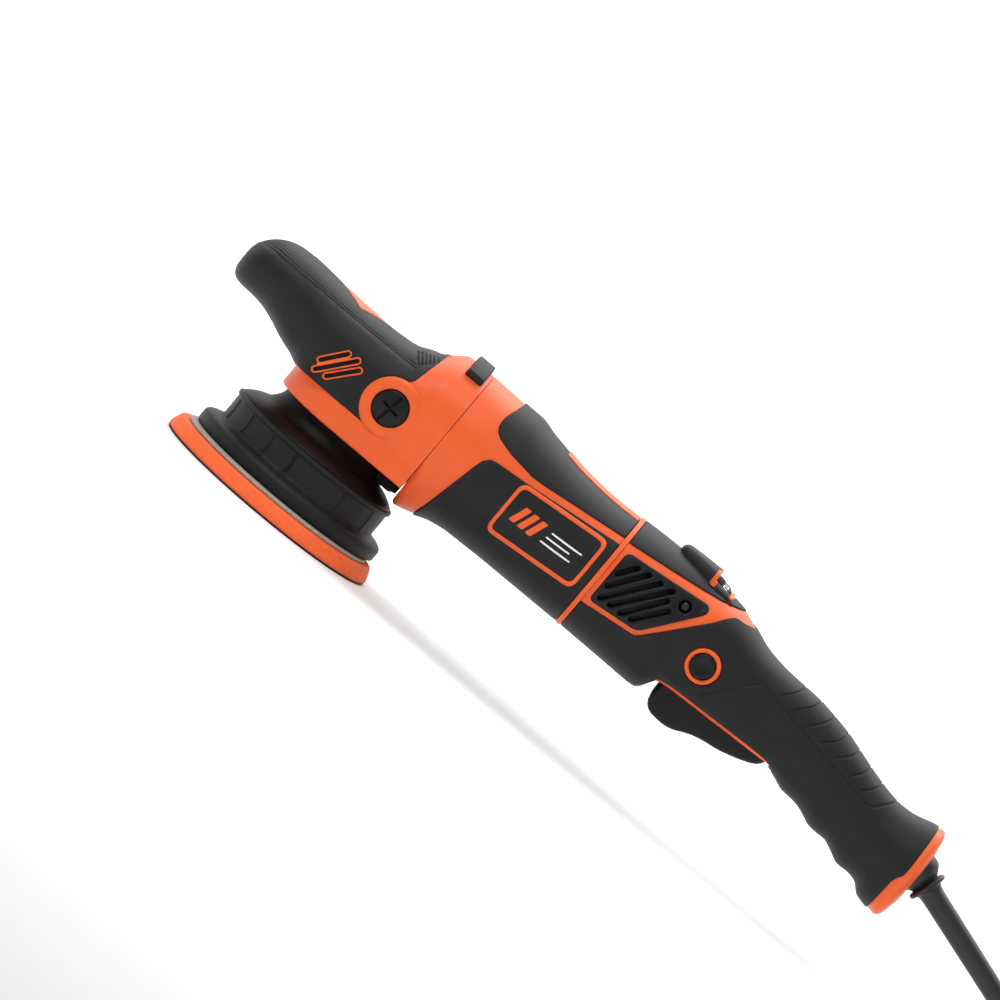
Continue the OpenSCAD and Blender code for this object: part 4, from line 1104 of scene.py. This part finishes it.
def vent_covers():
    made = []
    for side in BOTH:
        loops = [REAR.side(soften(VENT_COVER, 3.2), side)]
        loops += [REAR.side(slot_outline(a, b, 2.5), side) for a, b in VENT_SLOTS]
        loops.append(REAR.side(ring(COVER_SCREW_AT, 3.2, 0.3), side))
        made.append(patch("vent_cover", REAR, loops, "hard_black", height=1.3, edge=0.9, depth=1.6,
                          floor=-0.4, spacing=1.8, step=0.7))
        made.append(patch("vent_baffle", REAR, loops[:1], "hard_black", height=-3.4, edge=0, depth=4.2,
                          spacing=4))
    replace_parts(join(made, "vent_covers_skin"), "vent_covers")
    made = []
    head = [(0, 23), (2.3, 23), (2.3, 27.5), (1.9, 28), (1.1, 28.25), (0, 28.3)]
    for side in BOTH:
        place = facing(side, *COVER_SCREW_AT)
        piece = lathe("cover_screw", head, "steel", place=place, look="dark_steel", count=40, sharp=50)
        screw_slots(piece, place, (1.4, 1.4), (0.5, 0.5 + math.pi / 2), 0.35, 27.3, 31)
        made.append(piece)
    join(made, "cover_screws")


# The hood's side and rear bodies round the wheel, as (y, z), and the slope they follow
DIAL_SIDE = [(14.8, 110.2), (14.8, 112.2), (13.6, 113.4), (11.4, 114.2), (10.3, 114.2), (10.3, 112),
             (11.6, 110.2)]
DIAL_BACK = [(14, 110.4), (14, 111.6), (12, 112.8), (8, 113.4)]
DIAL_SLOPE = (Matrix.Translation((197, 0, 114)) @ Matrix.Rotation(math.radians(5), 4, "Y")
              @ Matrix.Translation((-197, 0, -114)) @ ALONG)


def hood():
    loop = mirrored(by_y(REAR, [(168.8, 3), (169.4, 7), (172, 9.5), (180, 11.5), (191.6, 13.6)]))

    def rear(u, v):
        return u > 191.5

    def relief(u, v, rim):
        return np.clip((u - 170) / 20, 0, 1) * np.clip(rim / 4, 0, 1)

    parts = [patch("dial_hood_skin", REAR, [loop], "soft_black", height=5.0, edge=3.6, depth=0.2,
                   floor=0.4, seam=rear, relief=relief, spacing=1.5, step=0.8)]
    other_side, other_half = ([(-y, z) for y, z in line[::-1]] for line in (DIAL_SIDE, DIAL_BACK))
    for outline, low, high in ((DIAL_SIDE, 190.4, 202.2), (other_side, 190.4, 202.2),
                               (DIAL_BACK + other_half, 202.2, 206.6)):
        parts.append(prism("dial_side", outline, low, high, "soft_black", place=DIAL_SLOPE, bevel=0.3))
    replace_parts(join(parts, "dial_hood_skin"), "dial_hood")


def dial_frame():
    wall = [(-14.6, 111.2), (-14.6, 116), (-13.9, 118), (-12, 119.3), (-8, 119.8), (8, 119.8), (12, 119.3),
            (13.9, 118), (14.6, 116), (14.6, 111.2)]
    made = [prism("dial_wall", wall, 190, 192.3, "orange_plastic", place=ALONG, bevel=0.45)]
    lip = [(-13, 111.8), (-13, 113), (-10, 113.8), (-6, 114.1), (6, 114.1), (10, 113.8), (13, 113),
           (13, 111.8)]
    made.append(prism("dial_lip", lip, 202.2, 204.5, "orange_plastic", place=ALONG, bevel=0.4))
    foot = [(190.5, 111.6), (190.5, 115), (193.5, 115), (193.5, 111.6)]
    for y in (-15, 12.8):
        made.append(prism("dial_foot", foot, y, y + 2.2, "orange_plastic", place=ON_SIDE, bevel=0.5))
    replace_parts(join(made, "dial_bezel_skin"), "dial_bezel")


DIGITS = {1: "bc", 2: "abged", 3: "abgcd", 4: "fgbc", 5: "afgcd", 6: "afgcde"}
STROKES = {"a": ((0, 2), (1, 2)), "b": ((1, 1), (1, 2)), "c": ((1, 0), (1, 1)), "d": ((0, 0), (1, 0)),
           "e": ((0, 0), (0, 1)), "f": ((0, 1), (0, 2)), "g": ((0, 1), (1, 1))}


def dial():
    """The thumbwheel, ridged on its front half and numbered on the other."""
    place = Matrix.Translation(DIAL_AT) @ Matrix.Rotation(math.radians(90 + DIAL_TILT), 4, "Y")
    rows = [(-4.4, 0), (-4.1, 0.3), (-3.6, 0.45), (-0.6, 0.45), (-0.3, 0.2), (0.1, 0.2), (3.9, 0.2), (4.4, 0)]
    count, ridges, bore = 360, 40, 2.05
    verts = []
    for i in range(count):
        a = 2 * math.pi * i / count
        ridge = 0.5 + 0.5 * math.cos(a * ridges)
        points = [(DIAL_R + swell - (0.55 * ridge if -4 < z < -0.5 else 0), z) for z, swell in rows]
        verts.extend((r * math.cos(a), r * math.sin(a), z) for r, z in points + [(bore, 4.4), (bore, -4.4)])
    verts = [place @ Vector(v) for v in verts]
    add("dial_wheel", verts, ring_faces(count, len(rows) + 2), "hard_black", ["speed_dial"], "speed_dial")
    made = []
    for number, strokes in DIGITS.items():
        turn = math.radians(180 + 38 * (3 - number) - 13)
        for key in strokes:
            ends = [((x - 0.5) * 2.4, (y - 1) * 1.7) for x, y in STROKES[key]]
            line = slot_outline(*ends, 0.6, 3)
            n = len(line)
            verts = [place @ Vector((r * math.cos(turn + y / 12), r * math.sin(turn + y / 12), 1.7 - x))
                     for r in (DIAL_R + 0.1, DIAL_R + 0.26) for x, y in line]
            faces = [tuple(range(n))[::-1], tuple(range(n, 2 * n))]
            faces += [(k, (k + 1) % n, (k + 1) % n + n, k + n) for k in range(n)]
            made.append(add("digit", verts, faces, "fan_plastic", body="speed_dial", look="ink_white"))
    join(made, "dial_numbers")


def lock():
    place = facing(LEFT, *LOCK_AT)
    bezel = [(6.7, 20), (6.7, 28.6), (6.9, 29.3), (7.4, 29.7), (8, 29.8), (8.6, 29.5), (9, 28.8), (9.05, 20)]
    lathe("lock_ring", bezel, "orange_plastic", ["lock_bezel"], place=place, count=96, sharp=60)
    button = [(0, 14), (6.45, 14), (6.45, 29.2), (6.2, 30.1), (5.6, 30.55), (4.8, 30.6), (3.5, 30.25),
              (0, 30)]
    lathe("lock_button_skin", button, "hard_black", ["lock_button"], "lock_button", place=place, count=96,
          sharp=60)


TRIGGER = [(203.2, 66), (203, 60), (203, 54), (203.3, 50.6), (204, 48), (205.2, 46), (207, 44.4),
           (209.5, 43.4), (213, 43), (217, 42.9), (220.5, 43.3), (224, 44.4), (228, 46.4), (232, 48),
           (236, 49.1), (240, 49.8), (244, 50.3), (248, 51.1), (252, 52.2), (257, 53.7), (262, 55.6),
           (265.4, 57.4), (267.4, 59.4), (268.5, 61.5), (268.6, 64), (267.6, 66.8), (265, 68.6)]


def trigger():
    """The paddle, rounded where its sides meet its underside."""
    pts = np.array(TRIGGER)
    run = np.gradient(pts, axis=0)
    inward = np.stack([-run[:, 1], run[:, 0]], -1)
    inward /= np.linalg.norm(inward, axis=1, keepdims=True)
    taper = np.clip((pts[:, 1] - 66) / -6, 0, 1)[:, None]
    half, corner = 12, 3.4
    slices = [(half - corner + corner * math.sin(t), corner * (1 - math.cos(t)))
              for t in np.linspace(0, math.pi / 2, 9)]
    ys = [(-y, e) for y, e in slices[::-1]] + slices
    verts = [(x, y, z) for y, e in ys for x, z in pts + e * inward * taper]
    n = len(pts)
    faces = [(i * n + k, i * n + (k + 1) % n, (i + 1) * n + (k + 1) % n, (i + 1) * n + k)
             for i in range(len(ys) - 1) for k in range(n)]
    faces.append(tuple(range(n))[::-1])
    faces.append(tuple((len(ys) - 1) * n + k for k in range(n)))
    piece = add("trigger_paddle", verts, faces, "hard_black", ["trigger"], "trigger")
    room = [(206, 80), (206, 52), (208.5, 48), (214, 46.4), (223, 47.8), (232, 51.4), (246, 54.2), (255, 58),
            (257, 62), (257, 80)]
    hollow = prism_mesh(room, -9.4, 9.4)
    hollow.transform(ON_SIDE)
    carve(piece, [hollow, rod(2.05, 40, facing(LEFT, *TRIGGER_PIN_AT, 20))])


def cap_and_boot():
    rows = [(352.5, 0.0), (353, 0.1)]
    rows += [(u, 0.0) for u in (*np.arange(353.6, 359, 0.9), *np.arange(359, 361.8, 0.3), 361.8)]
    cap = shell("cap_wall", CAP, rows, "orange_plastic", depth=2.2, around=160)
    face = CAP.at(np.full(96, 361.75), np.arange(96) * 2 * math.pi / 96, np.zeros(96))
    plate = prism("cap_face", face[:, 1:], 359.4, 362.1, "orange_plastic", place=ALONG, bevel=0.5)
    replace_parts(join([cap, plate], "end_cap_skin"), "end_cap")
    axis = Matrix.Translation((362, 0, 67.2)) @ Matrix.Rotation(math.radians(90 + 17.6), 4, "Y")
    sleeve = [(0, -10), (11, -10), (11.3, 0.5), (10.6, 2.2), (8.6, 4.6), (7.6, 5.6), (7.4, 6.0), (7.8, 6.4),
              (9.3, 6.7), (9.9, 7.2), (10.1, 8), (9.9, 8.8), (9.2, 9.2), (8.2, 9.3), (7.2, 9.6), (6.6, 10.2),
              (6.2, 11.2), (6.0, 13)]
    sleeve += [(5.95 - 0.5 * t, 14 + 70 * t) for t in np.linspace(0, 1, 15)]
    sleeve += [(5.4, 85.6), (5.2, 87), (4.8, 87.6), (0, 87.6)]
    lathe("cord_boot", sleeve, "cord_black", ["strain_relief"], place=axis, count=96, sharp=60)


# ---------------------------------------------------------------- cord's tie and plug

def tie_and_plug():
    turn = Matrix.Translation((*COIL_AT, 0)) @ Matrix.Rotation(math.radians(150), 4, "Z")
    outer = soften([(30.4, 0), (65.6, 0), (65.6, 33.4), (30.4, 33.4)], 4, 6)
    inner = soften([(31.8, 1.2), (64.2, 1.2), (64.2, 32.2), (31.8, 32.2)], 3.2, 6)
    stand = turn @ ON_SIDE
    strap = prism("strap", outer, -6, 6, "tie", place=stand, bevel=0.4)
    hole = prism_mesh(inner, -8, 8)
    hole.transform(stand)
    carve(strap, [hole])
    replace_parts(strap, "cord_tie")
    lay = Matrix.Translation(PLUG_AT) @ ALONG
    stem = [(0, 0), (4.4, 0), (4.8, 0.4)]
    for k in range(6):
        z = 2 + 4 * k
        r = 4.9 + 0.06 * z
        stem += [(r, z), (r + 0.3, z + 0.4), (r + 0.3, z + 2), (r, z + 2.4)]
    stem += [(6.8, 28), (6.8, 33), (0, 33)]
    parts = [lathe("plug_neck", stem, "cord_black", place=lay, count=64, sharp=40)]
    grip = soften([(-13, -6.8), (13, -6.8), (17, 0), (13, 6.8), (-13, 6.8), (-17, 0)], 3, 6)
    parts.append(prism("plug_body", grip, 30, 66, "cord_black", place=lay, bevel=1.6, segments=5))
    plug = join(parts, "mains_plug")
    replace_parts(plug, "plug")
    pins = []
    for x in (-9.5, 9.5):
        pin = [(0, 60), (2.4, 60), (2.4, 83.4), (2.1, 84.4), (1.2, 85), (0, 85)]
        pins.append(lathe("pin", pin, "steel", place=lay @ Matrix.Translation((x, 0, 0)), count=32, sharp=50))
    return strap, plug, join(pins, "plug_pins")


# ---------------------------------------------------------------- studio

FRONT_GLOW, BACK_GLOW = 0.16, 1.02
FLOOR_R = 3000


def studio():
    """White round about, brightest behind the tool, four soft lamps, and a pale floor. Returns the floor."""
    bpy.context.scene.view_settings.view_transform = "Standard"
    world = bpy.data.worlds.new("studio")
    bpy.context.scene.world = world
    world.use_nodes = True
    tree = world.node_tree
    sky = tree.nodes["Background"]
    set_inputs(sky, {"Color": (1, 1, 1, 1)})
    place = tree.nodes.new("ShaderNodeTexCoord")
    split = tree.nodes.new("ShaderNodeSeparateXYZ")
    fade = tree.nodes.new("ShaderNodeMapRange")
    fade.interpolation_type = "SMOOTHSTEP"
    set_inputs(fade, {"From Min": -0.5, "From Max": 0.4, "To Min": FRONT_GLOW, "To Max": BACK_GLOW})
    tree.links.new(place.outputs["Generated"], split.inputs["Vector"])
    tree.links.new(split.outputs["Y"], fade.inputs["Value"])
    tree.links.new(fade.outputs["Result"], sky.inputs["Strength"])

    def area(name, at, to, size, power):
        light = bpy.data.lights.new(name, "AREA")
        light.shape = "RECTANGLE"
        light.size, light.size_y = size
        light.energy = power
        lamp = place_object(name, light)
        lamp.location = at
        lamp.rotation_euler = (Vector(to) - Vector(at)).to_track_quat("-Z", "Y").to_euler()

    area("key", (-0.35, -0.75, 1.15), (0.12, 0, 0.08), (0.9, 0.6), 9.6)
    area("top", (0.15, 0.1, 1.3), (0.15, 0, 0.08), (1.2, 0.8), 3.2)
    area("fill", (0.9, -1.1, 0.45), (0.15, 0, 0.07), (0.8, 0.8), 2.4)
    area("sweep", (0.1, 1.6, 1.9), (0.1, 1.4, 0), (3.0, 2.5), 60)
    rim = [(FLOOR_R * math.cos(a), FLOOR_R * math.sin(a)) for a in np.linspace(0, 6.2, 60)]
    floor = prism("floor", rim, -6, -0.02, "hard_black", bevel=0)
    white = bpy.data.materials.new("floor_white")
    white.use_nodes = True
    set_inputs(white.node_tree.nodes["Principled BSDF"], {"Base Color": (0.9, 0.9, 0.9, 1), "Roughness": 0.7})
    floor.data.materials.clear()
    floor.data.materials.append(white)
    return floor


def dress_nodes():
    """The solids kept from the CAD model: a finish each, smooth shading between their sharp edges."""
    for row in frame["record"]["subparts"]:
        node = frame["nodes"][row["node"]]
        dress(node, row["material_slot"])
        bm = bmesh.new()
        bm.from_mesh(node.data)
        finish_mesh(bm, node.data, 30)


dress_nodes()
make_cord(tie_and_plug())
for build in (head_housing, head_grip, head_trim, bumper, plugs, neck, shroud, pad, barrel, nameplates, band,
              rear_halves, grips, trigger_frame, vent_covers, hood, dial_frame, dial, lock, trigger,
              cap_and_boot):
    build()
studio()
